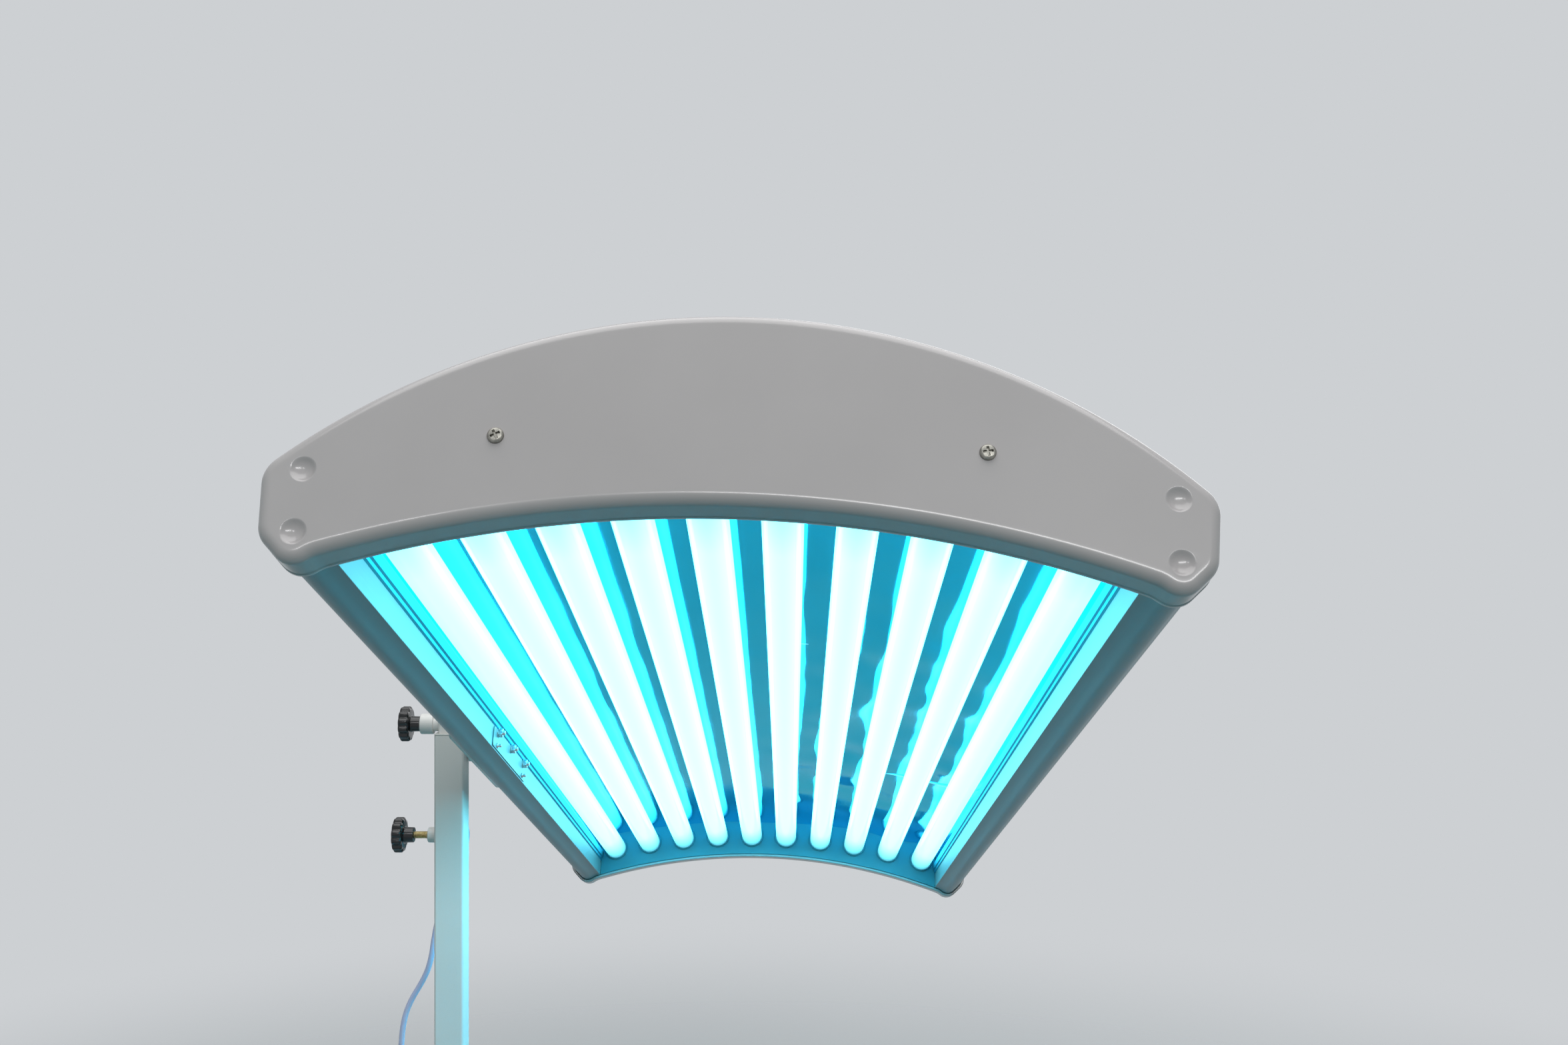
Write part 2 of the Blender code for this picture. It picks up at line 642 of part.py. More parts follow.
# Reflector: one polished sheet, arched behind the lamps and turned down along both rails
def reflector():
    flange_x = RAIL_INNER_X + REFLECTOR_THICKNESS / 2
    side_end = acos((flange_x - REFLECTOR_CORNER) / REFLECTOR_RADIUS)
    crown = arc(LAMP_ARC_CENTRE, REFLECTOR_RADIUS, pi - side_end, side_end, 24)
    bend = crown[-1][1] - REFLECTOR_CORNER
    corner = REFLECTOR_CORNER * (1 - sqrt(0.5))
    side = [(flange_x - corner, crown[-1][1] - corner), (flange_x, bend),
            (flange_x, REFLECTOR_EDGE_HEIGHT + FIT)]
    line = [(-x, z) for x, z in side[::-1]] + crown + side
    shape = bmesh.new()
    start = CAP_DEPTH + FIT
    add_prism(shape, ribbon(line, REFLECTOR_THICKNESS), start, CANOPY_LENGTH - start, "Y")
    piece("reflector", to_canopy(shape), bright_aluminium, canopy_frame)


reflector()

# Side rails: hollow extrusions with a grooved inner face, a rebate for the reflector and a ledge for the skin
BOLT_MIDDLE = PIVOT_STATION - BOLT_LEAD
BOLT_STATIONS = [BOLT_MIDDLE + step * BOLT_SPACING for step in BOLT_STEPS]


def blend_start(x, inset):
    """Where the inset blend arc stands over x."""
    return acos((x - BLEND_CENTRE[0]) / (CORNER_BLEND_RADIUS + inset))


def rail_outline():
    ledge_x = SKIN_EDGE_X - LEDGE_WIDTH
    start = blend_start(RAIL_INNER_X, BODY_INSET)
    points = arc(BLEND_CENTRE, CORNER_BLEND_RADIUS + BODY_INSET, start, BLEND_END, 2)
    points += corner_run(BODY_INSET)[1:]
    skin_edge = crown_angle(SKIN_EDGE_X, BODY_INSET)
    points += arc(CROWN_CENTRE, CROWN_RADIUS - BODY_INSET, CROWN_END, skin_edge, 2)[1:]
    points += [(SKIN_EDGE_X, crown_height(SKIN_EDGE_X, LEDGE_INSET)),
               (ledge_x, crown_height(ledge_x, LEDGE_INSET)),
               (ledge_x, crown_height(ledge_x, LEDGE_INSET + RAIL_WALL)),
               (REBATE_X, crown_height(REBATE_X, LEDGE_INSET + RAIL_WALL)),
               (REBATE_X, REFLECTOR_EDGE_HEIGHT), (RAIL_INNER_X, REFLECTOR_EDGE_HEIGHT)]
    for height in RAIL_GROOVE_HEIGHTS:
        top = height + RAIL_GROOVE_WIDTH / 2
        bottom = height - RAIL_GROOVE_WIDTH / 2
        depth = RAIL_INNER_X + RAIL_GROOVE_DEPTH
        points += [(RAIL_INNER_X, top), (depth, top), (depth, bottom), (RAIL_INNER_X, bottom)]
    return points


def rail_chamber():
    inset = LEDGE_INSET + RAIL_WALL
    wall_x = REBATE_X + RAIL_WALL
    points = arc(BLEND_CENTRE, CORNER_BLEND_RADIUS + inset, blend_start(wall_x, inset), BLEND_END, 1)
    points += corner_run(inset)[1:]
    points += arc(CROWN_CENTRE, CROWN_RADIUS - inset, CROWN_END, crown_angle(wall_x, inset), 2)[1:]
    return points


def side_rail(name, side):
    shape = bmesh.new()
    start = BODY_START
    outline = [(side * x, z) for x, z in rail_outline()]
    chamber = [(side * x, z) for x, z in rail_chamber()]
    add_prism(shape, outline, start, CANOPY_LENGTH - start, "Y", [chamber])
    return piece(name, to_canopy(shape), mill_aluminium, canopy_frame)


def bolt_holes(left, right):
    """Cutter for the bracket bolts, between two places across the section."""
    shape = bmesh.new()
    radius = BOLT_RADIUS + FIT
    profile = [(0, left), (radius, left), (radius, right), (0, right)]
    for station in BOLT_STATIONS:
        add_lathe(shape, profile, SMALL_SIDES, "X", (station, BOLT_HEIGHT))
    return to_canopy(shape)


post_rail = side_rail("post_side_rail", -1)
combine(post_rail, bolt_holes(-CANOPY_HALF_WIDTH, -RAIL_INNER_X + RAIL_WALL), "DIFFERENCE")
side_rail("free_side_rail", 1)


# Top skin: one sheet sprung over the formers, its edges on the rails' ledges
def top_skin():
    inset = BODY_INSET + SKIN_THICKNESS / 2
    edge = crown_angle(SKIN_EDGE_X - FIT, BODY_INSET)
    line = arc(CROWN_CENTRE, CROWN_RADIUS - inset, pi - edge, edge, 20)
    shape = bmesh.new()
    add_prism(shape, ribbon(line, SKIN_THICKNESS), BODY_START, CANOPY_LENGTH - BODY_START, "Y")
    piece("top_skin", to_canopy(shape), white_enamel, canopy_frame)


top_skin()

# Formers: arched plates between the reflector and the skin, with wiring holes, and the ballasts fixed to them
REFLECTOR_TOP = REFLECTOR_RADIUS + REFLECTOR_THICKNESS / 2


def gear_middle(x):
    """Half way between the reflector and the skin."""
    floor = LAMP_ARC_CENTRE[1] + sqrt(REFLECTOR_TOP ** 2 - x * x)
    return (floor + crown_height(x, LEDGE_INSET)) / 2


def former(name, station):
    floor_radius = REFLECTOR_TOP + FIT
    edge = acos(FORMER_HALF_WIDTH / floor_radius)
    crown_edge = crown_angle(FORMER_HALF_WIDTH, LEDGE_INSET)
    outline = arc(LAMP_ARC_CENTRE, floor_radius, pi - edge, edge, 20)
    outline += arc(CROWN_CENTRE, CROWN_RADIUS - LEDGE_INSET, crown_edge, pi - crown_edge, 14)
    holes = []
    for share in (-0.32, 0.32):
        x = share * FORMER_HALF_WIDTH
        holes.append(arc((x, gear_middle(x)), FORMER_HOLE_RADIUS, 0, 2 * pi, SMALL_SIDES)[:-1])
    shape = bmesh.new()
    half = FORMER_THICKNESS / 2
    add_prism(shape, outline, station - half, station + half, "Y", holes)
    piece(name, to_canopy(shape), mill_aluminium, canopy_frame)


def ballast(number, station, side, place):
    x = lamp_place(place)[0]
    z = gear_middle(x)
    half = BALLAST_WIDTH / 2
    rise = BALLAST_HEIGHT / 2
    outline = []
    for sx, sz in ((1, 1), (-1, 1), (-1, -1), (1, -1)):
        near = (x + sx * (half - BALLAST_CHAMFER), z + sz * rise)
        far = (x + sx * half, z + sz * (rise - BALLAST_CHAMFER))
        outline += [far, near] if sx * sz > 0 else [near, far]
    start = station + side * (FORMER_THICKNESS / 2 + FIT)
    shape = bmesh.new()
    add_prism(shape, outline, start, start + side * BALLAST_LENGTH, "Y")
    piece(f"ballast_{number}", to_canopy(shape), ballast_enamel, canopy_frame)


for former_name, former_station in zip(("near_former", "far_former"), FORMER_STATIONS):
    former(former_name, former_station)
for count, (former_index, lamp_index) in enumerate(BALLAST_PLACES, 1):
    ballast(count, FORMER_STATIONS[former_index], 1 if former_index == 0 else -1, lamp_index)

# Bracket: a flange on the rail's outer face, a spacer, and a link shaped arm up to the hub beside the mast
SPACER_RIGHT = (CANOPY_REACH + FLANGE_X - FLANGE_THICKNESS / 2) * cos(SAG) + ARM_FOOT[1] * sin(SAG)


def link_outline(first, first_radius, second, second_radius, steps):
    """Two circles joined by their outer tangents."""
    heading = atan2(second[1] - first[1], second[0] - first[0])
    spread = acos((first_radius - second_radius) / hypot(second[0] - first[0], second[1] - first[1]))
    points = arc(first, first_radius, heading + spread, heading + 2 * pi - spread, steps)
    return points + arc(second, second_radius, heading - spread, heading + spread, steps)


def mounting_bracket():
    half = (FLANGE_NEAR + FLANGE_FAR) / 2
    station = PIVOT_STATION + (FLANGE_FAR - FLANGE_NEAR) / 2
    shape = bmesh.new()
    corner = FLANGE_THICKNESS * 2
    middle = (FLANGE_TOP + FLANGE_BOTTOM) / 2
    plate = rounded_rectangle(half, (FLANGE_TOP - FLANGE_BOTTOM) / 2, corner, 2)
    plate = [(station + y, middle + z) for y, z in plate]
    holes = []
    for bolt_station in BOLT_STATIONS:
        holes.append(arc((bolt_station, BOLT_HEIGHT), BOLT_RADIUS + FIT, 0, 2 * pi, SMALL_SIDES)[:-1])
    add_prism(shape, plate, FLANGE_X - FLANGE_THICKNESS, FLANGE_X, "X", holes)
    to_canopy(shape)
    bmesh.ops.rotate(shape, verts=shape.verts, matrix=Matrix.Rotation(SAG, 3, "Y"))
    item = piece("mounting_bracket", shape, white_enamel, tilt_frame)
    arm = bmesh.new()
    link = link_outline((0, 0), ARM_HUB_RADIUS, ARM_FOOT, ARM_FOOT_RADIUS, 10)
    add_prism(arm, link, ARM_LEFT, ARM_RIGHT, "X")
    combine(item, arm, "UNION")
    hub = bmesh.new()
    overlap = ARM_THICKNESS / 2
    root = ARM_RIGHT - overlap
    add_lathe(hub, [(0, root), (HUB_RADIUS, root), (HUB_RADIUS, HUB_RIGHT), (0, HUB_RIGHT)], BOSS_SIDES, "X")
    spacer = [(0, root), (SPACER_RADIUS, root), (SPACER_RADIUS, SPACER_RIGHT), (0, SPACER_RIGHT)]
    add_lathe(hub, spacer, BOSS_SIDES, "X", ARM_FOOT)
    combine(item, hub, "UNION")
    bore = bmesh.new()
    bore_radius = AXLE_RADIUS + FIT
    bore_end = 2 * HUB_RIGHT
    bore_profile = [(0, 0), (bore_radius, 0), (bore_radius, bore_end), (0, bore_end)]
    add_lathe(bore, bore_profile, BOSS_SIDES, "X")
    combine(item, bore, "DIFFERENCE")


mounting_bracket()


# Backing plate inside the rail, and the bolts that draw the bracket up to it
def backing_plate():
    half = BACKING_LENGTH / 2
    middle = (BACKING_TOP + BACKING_BOTTOM) / 2
    outline = rounded_rectangle(half, (BACKING_TOP - BACKING_BOTTOM) / 2, BACKING_THICKNESS * 2, 2)
    outline = [(BOLT_MIDDLE + y, middle + z) for y, z in outline]
    holes = []
    for station in BOLT_STATIONS:
        holes.append(arc((station, BOLT_HEIGHT), BOLT_RADIUS + FIT, 0, 2 * pi, SMALL_SIDES)[:-1])
    left = -RAIL_INNER_X + FIT
    shape = bmesh.new()
    add_prism(shape, outline, left, left + BACKING_THICKNESS, "X", holes)
    piece("backing_plate", to_canopy(shape), mill_aluminium, canopy_frame)


def bracket_bolt(number, station):
    seat = -RAIL_INNER_X + 2 * FIT + BACKING_THICKNESS
    tip = FLANGE_X - FLANGE_THICKNESS - FIT
    head = seat + WASHER_THICKNESS
    steps = ((tip, BOLT_RADIUS), (seat, BOLT_RADIUS), (seat, WASHER_RADIUS), (head, WASHER_RADIUS))
    rings = []
    for along, radius in steps:
        ring = arc((station, BOLT_HEIGHT), radius, 0, 2 * pi, SMALL_SIDES)[:-1]
        rings.append([(along, y, z) for y, z in ring])
    apothem = BOLT_HEAD_RADIUS * cos(pi / 6)
    for along in (head, head + BOLT_HEAD_HEIGHT):
        ring = []
        for i in range(SMALL_SIDES):
            radius = BOLT_HEAD_RADIUS if i % 2 == 0 else apothem
            angle = 2 * pi * i / SMALL_SIDES
            ring.append((along, station + radius * cos(angle), BOLT_HEIGHT + radius * sin(angle)))
        rings.append(ring)
    shape = bmesh.new()
    add_loft(shape, rings)
    piece(f"bracket_bolt_{number}", to_canopy(shape), zinc_steel, canopy_frame)


backing_plate()
for count, bolt_place in enumerate(BOLT_STATIONS, 1):
    bracket_bolt(count, bolt_place)


# Pivot axle: fixed in the bracket's hub, turning in the mast and the boss
def pivot_axle():
    right = HUB_RIGHT
    chamfer = AXLE_RADIUS / 8
    profile = [(0, -AXLE_LEFT), (AXLE_RADIUS - chamfer, -AXLE_LEFT), (AXLE_RADIUS, -AXLE_LEFT + chamfer),
               (AXLE_RADIUS, right), (0, right)]
    shape = bmesh.new()
    add_lathe(shape, profile, BOSS_SIDES, "X")
    piece("pivot_axle", shape, zinc_steel, tilt_frame)


pivot_axle()


# Mast: a square tube with a closed top, cross drilled for the axle
def mast_tube():
    bottom = MAST_TOP - MAST_LENGTH
    outer = rounded_rectangle(MAST_HALF, MAST_HALF, MAST_CORNER)
    inner = rounded_rectangle(MAST_HALF - MAST_WALL, MAST_HALF - MAST_WALL, MAST_CORNER)
    rings = [(inner, MAST_TOP - MAST_WALL), (inner, bottom), (outer, bottom), (outer, MAST_TOP)]
    shape = bmesh.new()
    add_loft(shape, [[(x, y, height) for x, y in loop] for loop, height in rings])
    item = piece("mast_tube", shape, white_enamel, mast_frame)
    cutter = bmesh.new()
    radius = AXLE_RADIUS + RUNNING
    profile = [(0, -MAST_WIDTH), (radius, -MAST_WIDTH), (radius, MAST_WIDTH), (0, MAST_WIDTH)]
    add_lathe(cutter, profile, BOSS_SIDES, "X")
    combine(item, cutter, "DIFFERENCE")


mast_tube()

# Tilt boss: the round housing on the mast's outer side that the tilt knob screws into
TILT_BOSS_START = -MAST_HALF - FIT
TILT_BOSS_SHOULDER = TILT_BOSS_START - TILT_BOSS_NECK_LENGTH
TILT_BOSS_END = TILT_BOSS_SHOULDER - TILT_BOSS_LENGTH


def tilt_boss():
    axle_bore = AXLE_RADIUS + RUNNING
    stud_bore = STUD_RADIUS + RUNNING
    edge = TILT_BOSS_RADIUS / 12
    step = -AXLE_LEFT - FIT
    profile = [(axle_bore, TILT_BOSS_START), (TILT_BOSS_NECK_RADIUS, TILT_BOSS_START),
               (TILT_BOSS_NECK_RADIUS, TILT_BOSS_SHOULDER), (TILT_BOSS_RADIUS, TILT_BOSS_SHOULDER),
               (TILT_BOSS_RADIUS, TILT_BOSS_END + edge), (TILT_BOSS_RADIUS - edge, TILT_BOSS_END),
               (stud_bore, TILT_BOSS_END), (stud_bore, step), (axle_bore, step)]
    shape = bmesh.new()
    add_lathe(shape, profile, BOSS_SIDES, "X")
    piece("tilt_boss", shape, white_enamel, mast_frame)


tilt_boss()


# Clamp knobs: a lobed grip with a round hub, on a steel stud
def knob_rings(hub_end):
    """Rings of a knob along X, from the outer face of the grip to the end of the hub."""
    inner_face = hub_end - KNOB_HUB_LENGTH
    outer_face = inner_face - KNOB_THICKNESS
    steps = KNOB_LOBES * 4

    def grip(along, shrink):
        ring = []
        for i in range(steps):
            angle = 2 * pi * i / steps
            lobe = KNOB_LOBE_DEPTH * (1 - abs(sin(KNOB_LOBES * angle / 2)) ** 0.6)
            radius = KNOB_RADIUS - lobe - shrink
            ring.append((along, radius * cos(angle), radius * sin(angle)))
        return ring

    def hub(along):
        return [(along, KNOB_HUB_RADIUS * cos(2 * pi * i / steps), KNOB_HUB_RADIUS * sin(2 * pi * i / steps))
                for i in range(steps)]

    return [grip(outer_face, KNOB_CHAMFER), grip(outer_face + KNOB_CHAMFER, 0),
            grip(inner_face - KNOB_CHAMFER, 0), grip(inner_face, KNOB_CHAMFER), hub(inner_face), hub(hub_end)]


def tilt_knob():
    hub_end = TILT_BOSS_END - FIT
    rings = knob_rings(hub_end)
    steps = len(rings[0])
    for along in (hub_end, -AXLE_LEFT - 2 * FIT):
        rings.append([(along, STUD_RADIUS * cos(2 * pi * i / steps), STUD_RADIUS * sin(2 * pi * i / steps))
                      for i in range(steps)])
    shape = bmesh.new()
    add_loft(shape, rings)
    piece("tilt_knob", shape, black_moulding, mast_frame)


tilt_knob()

# Column: the outer tube with its foot plate, drilled for the height clamp
COLUMN_INNER = COLUMN_HALF - COLUMN_WALL
CLAMP_HEIGHT = PIVOT_HEIGHT - HEIGHT_CLAMP_DROP
COLUMN_FOOT = BEAM_TOP + FIT


def column_tube():
    outer = rounded_rectangle(COLUMN_HALF, COLUMN_HALF, COLUMN_CORNER)
    inner = rounded_rectangle(COLUMN_INNER, COLUMN_INNER, COLUMN_CORNER - COLUMN_WALL)
    plate_top = COLUMN_FOOT + COLUMN_PLATE_THICKNESS
    shape = bmesh.new()
    rings = [(inner, plate_top), (inner, COLUMN_TOP), (outer, COLUMN_TOP), (outer, COLUMN_FOOT + FIT)]
    add_loft(shape, [[(x, y, height) for x, y in loop] for loop, height in rings])
    item = piece("column_tube", shape, white_enamel, stand)
    plate = bmesh.new()
    foot = rounded_rectangle(BEAM_WIDTH / 2 - BEAM_CORNER, COLUMN_PLATE_LENGTH / 2, BEAM_CORNER)
    add_prism(plate, foot, COLUMN_FOOT, plate_top - FIT, "Z")
    combine(item, plate, "UNION")
    cutter = bmesh.new()
    radius = STUD_RADIUS + RUNNING
    profile = [(0, -COLUMN_WIDTH), (radius, -COLUMN_WIDTH), (radius, -MAST_HALF), (0, -MAST_HALF)]
    add_lathe(cutter, profile, BOSS_SIDES, "X", (0, CLAMP_HEIGHT))
    combine(item, cutter, "DIFFERENCE")


column_tube()


# Guide: a plastic sleeve in the column's mouth, with a rim on its top
def column_guide():
    bore = rounded_rectangle(MAST_HALF + RUNNING, MAST_HALF + RUNNING, MAST_CORNER + RUNNING)
    sleeve = rounded_rectangle(COLUMN_INNER - FIT, COLUMN_INNER - FIT, COLUMN_CORNER - COLUMN_WALL)
    rim = rounded_rectangle(COLUMN_HALF, COLUMN_HALF, COLUMN_CORNER)
    bottom = COLUMN_TOP - GUIDE_LENGTH
    seat = COLUMN_TOP + FIT
    rings = [(bore, bottom), (sleeve, bottom), (sleeve, seat), (rim, seat), (rim, seat + GUIDE_RIM),
             (bore, seat + GUIDE_RIM)]
    shape = bmesh.new()
    loops = [[shape.verts.new((x, y, height)) for x, y in loop] for loop, height in rings]
    for lower, upper in zip(loops, loops[1:] + loops[:1]):
        wall(shape, lower, upper)
    piece("column_guide", shape, guide_plastic, stand)


column_guide()

# Height clamp: a welded boss, a plated stud and a second knob
clamp_frame = frame_empty("clamp_frame", stand, (0, 0, CLAMP_HEIGHT))
HEIGHT_BOSS_START = -COLUMN_HALF - FIT
HEIGHT_BOSS_END = HEIGHT_BOSS_START - HEIGHT_BOSS_LENGTH
HEIGHT_HUB_END = HEIGHT_BOSS_END - HEIGHT_STUD_SHOWN


def height_boss():
    bore = STUD_RADIUS + RUNNING
    edge = HEIGHT_BOSS_RADIUS / 5
    profile = [(bore, HEIGHT_BOSS_START), (HEIGHT_BOSS_RADIUS, HEIGHT_BOSS_START),
               (HEIGHT_BOSS_RADIUS, HEIGHT_BOSS_END + edge), (HEIGHT_BOSS_RADIUS - edge, HEIGHT_BOSS_END),
               (bore, HEIGHT_BOSS_END)]
    shape = bmesh.new()
    add_lathe(shape, profile, BOSS_SIDES, "X")
    piece("height_boss", shape, white_enamel, clamp_frame)


def height_stud():
    tip = -MAST_HALF - FIT
    start = HEIGHT_HUB_END + FIT
    chamfer = STUD_RADIUS / 5
    profile = [(0, start), (STUD_RADIUS, start), (STUD_RADIUS, tip - chamfer),
               (STUD_RADIUS - chamfer, tip), (0, tip)]
    shape = bmesh.new()
    add_lathe(shape, profile, BOSS_SIDES, "X")
    piece("height_stud", shape, yellow_zinc, clamp_frame)


def height_knob():
    shape = bmesh.new()
    add_loft(shape, knob_rings(HEIGHT_HUB_END))
    piece("height_knob", shape, black_moulding, clamp_frame)


height_boss()
height_stud()
height_knob()


# Base: two feet joined by a spine, all of rectangular tube
def foot_beam(name, x, length):
    """A closed tube on its castors, with a drain hole in its underside."""
    half = length / 2
    middle = (BEAM_BOTTOM + BEAM_TOP) / 2

    def ring(shrink, y):
        loop = rounded_rectangle(BEAM_WIDTH / 2 - shrink, BEAM_HEIGHT / 2 - shrink, BEAM_CORNER - shrink)
        return [(x + u, y, middle + v) for u, v in loop]

    shape = bmesh.new()
    add_loft(shape, [ring(0, -half), ring(0, half)])
    item = piece(name, shape, white_enamel, stand)
    cavity = bmesh.new()
    add_loft(cavity, [ring(BEAM_WALL, -half + BEAM_WALL), ring(BEAM_WALL, half - BEAM_WALL)])
    combine(item, cavity, "DIFFERENCE")
    drain = bmesh.new()
    depth = BEAM_BOTTOM + 2 * BEAM_WALL
    profile = [(0, 0), (BEAM_DRAIN_RADIUS, 0), (BEAM_DRAIN_RADIUS, depth), (0, depth)]
    add_lathe(drain, profile, SMALL_SIDES, "Z", (x, half / 2))
    combine(item, drain, "DIFFERENCE")


def base_spine():
    middle = (BEAM_BOTTOM + BEAM_TOP) / 2
    loops = []
    for shrink in (0, BEAM_WALL):
        loop = rounded_rectangle(BEAM_WIDTH / 2 - shrink, BEAM_HEIGHT / 2 - shrink, BEAM_CORNER - shrink)
        loops.append([(u, middle + v) for u, v in loop])
    start = BEAM_WIDTH / 2 + FIT
    shape = bmesh.new()
    add_prism(shape, loops[0], start, FOOT_SPREAD - start, "X", [loops[1]])
    piece("base_spine", shape, white_enamel, stand)


foot_beam("post_side_foot", 0.0, POST_FOOT_LENGTH)
foot_beam("free_side_foot", FOOT_SPREAD, FREE_FOOT_LENGTH)
base_spine()


# Castors: a trailing fork with its axle pin, and a wheel that turns on the pin
def castor(name, x, y):
    swivel = frame_empty(name + "_swivel", stand, (x, y, 0))
    inner = WHEEL_WIDTH / 2 + FORK_SIDE_GAP
    outer = inner + FORK_CHEEK
    plate_bottom = 2 * WHEEL_RADIUS + FORK_PLATE_GAP
    plate_top = plate_bottom + FORK_PLATE
    cheek_bottom = WHEEL_RADIUS - 2 * WHEEL_AXLE_RADIUS
    outline = [(-outer, cheek_bottom), (-outer, plate_top), (outer, plate_top), (outer, cheek_bottom),
               (inner, cheek_bottom), (inner, plate_bottom), (-inner, plate_bottom), (-inner, cheek_bottom)]
    shape = bmesh.new()
    add_prism(shape, outline, -FORK_LENGTH / 2, FORK_LENGTH / 2, "Y")
    for vert in shape.verts:
        vert.co.y -= FORK_TRAIL * (plate_top - vert.co.z) / (plate_top - WHEEL_RADIUS)
    fork = piece(name + "_fork", shape, zinc_steel, swivel)
    head = bmesh.new()
    head_top = plate_top + FORK_HEAD_HEIGHT
    profile = [(0, plate_top - FORK_PLATE / 2), (FORK_HEAD_RADIUS, plate_top - FORK_PLATE / 2),
               (FORK_HEAD_RADIUS, head_top), (0, head_top)]
    add_lathe(head, profile, SMALL_SIDES, "Z")
    combine(fork, head, "UNION")
    pin = bmesh.new()
    end = outer - FORK_CHEEK / 4
    profile = [(0, -end), (WHEEL_AXLE_RADIUS, -end), (WHEEL_AXLE_RADIUS, end), (0, end)]
    add_lathe(pin, profile, SMALL_SIDES, "X", (-FORK_TRAIL, WHEEL_RADIUS))
    combine(fork, pin, "UNION")
    hub_frame = frame_empty(name + "_hub", swivel, (0, -FORK_TRAIL, WHEEL_RADIUS))
    bore = WHEEL_AXLE_RADIUS + RUNNING
    half = WHEEL_WIDTH / 2
    rim = WHEEL_RADIUS / cos(pi / WHEEL_SIDES)
    profile = [(bore, -half), (0.40 * rim, -half), (0.72 * rim, -0.7 * half), (rim, -0.6 * half),
               (rim, 0.6 * half), (0.72 * rim, 0.7 * half), (0.40 * rim, half), (bore, half)]
    wheel = bmesh.new()
    add_lathe(wheel, profile, WHEEL_SIDES, "X", phase=pi / WHEEL_SIDES)
    piece(name + "_wheel", wheel, wheel_rubber, hub_frame)


feet = (("post", 0.0, POST_FOOT_LENGTH), ("free", FOOT_SPREAD, FREE_FOOT_LENGTH))
for foot_name, foot_x, foot_length in feet:
    for end_name, end_side in (("front", -1), ("rear", 1)):
        castor(f"{foot_name}_{end_name}_castor", foot_x, end_side * (foot_length / 2 - CASTOR_INSET))


# Mains lead: a gland on the column's rear face, the hanging lead, its stored coil and the plug
def cord_gland():
    start = COLUMN_HALF + FIT
    body = start + GLAND_BODY_LENGTH
    tip = body + GLAND_TAPER_LENGTH
    shoulder = GLAND_TIP_RADIUS + (GLAND_RADIUS - GLAND_TIP_RADIUS) * 0.6
    profile = [(0, start), (GLAND_RADIUS, start), (GLAND_RADIUS, body), (shoulder, body + CORD_RADIUS / 2),
               (GLAND_TIP_RADIUS, tip), (0, tip)]
    shape = bmesh.new()
    add_lathe(shape, profile, SMALL_SIDES, "Y", (0, GLAND_HEIGHT))
    piece("cord_gland", shape, white_pvc, stand)
    return tip


def coil_points(start_height):
    """The coil's loops: in at the bottom, up a layer where the spiral turns, and out again on top."""
    step = 2 * CORD_RADIUS + COIL_GAP
    loops = 2 * COIL_TURNS + 0.5
    points = []
    for i in range(int(loops * COIL_LOOP_POINTS) + 1):
        turn = i / COIL_LOOP_POINTS
        inwards = COIL_TURNS + 0.25
        radius = COIL_RADIUS - step * (inwards - abs(turn - inwards))
        climb = min(1.0, max(0.0, (turn - COIL_TURNS) / 0.5))
        angle = pi - 2 * pi * turn
        points.append(Vector((COIL_CENTRE[0] + radius * cos(angle), COIL_CENTRE[1] + radius * sin(angle),
                              start_height + step * climb)))
    return points


def least_self_gap(points):
    """Clear space between turns of the coil, measured on its points."""
    skip = COIL_LOOP_POINTS // 3
    count = len(points)
    least = min((points[i] - points[j]).length for i in range(count) for j in range(i + skip, count))
    return least - 2 * CORD_RADIUS


GLAND_TIP = cord_gland()
CORD_FLOOR = CORD_RADIUS + FIT
COIL_START_X = COIL_CENTRE[0] - COIL_RADIUS
CORD_ROUTE = [
    (0.0, GLAND_TIP + FIT, GLAND_HEIGHT), (0.0, GLAND_TIP + CORD_RADIUS, GLAND_HEIGHT),
    (0.0, GLAND_TIP + CORD_STEP, GLAND_HEIGHT),
    (-0.001, 0.103, 1.033), (-0.004, 0.116, 1.017), (-0.010, 0.120, 0.993), (-0.020, 0.118, 0.963),
    (-0.0315, 0.112, 0.934), (-0.0415, 0.103, 0.907), (-0.0460, 0.096, 0.880), (-0.0490, 0.091, 0.855),
    (-0.0545, 0.090, 0.835), (-0.0635, 0.090, 0.8165), (-0.0745, 0.090, 0.798), (-0.083, 0.090, 0.780),
    (-0.0885, 0.090, 0.760), (-0.0915, 0.090, 0.735), (-0.0925, 0.090, 0.700), (-0.0925, 0.091, 0.640),
    (-0.0925, 0.093, 0.520), (-0.0925, 0.096, 0.380), (-0.0925, 0.098, 0.240), (-0.0925, 0.099, 0.130),
    (-0.0925, 0.101, 0.080), (-0.0925, 0.108, 0.044), (-0.0925, 0.122, 0.0185), (-0.0925, 0.144, 0.0068),
    (COIL_START_X, 0.170, CORD_FLOOR), (COIL_START_X, COIL_CENTRE[1] - 2 * CORD_RADIUS - FIT, CORD_FLOOR),
]
tube("power_cord", smooth_route(CORD_ROUTE, CORD_STEP), CORD_RADIUS, 2, white_pvc, stand)

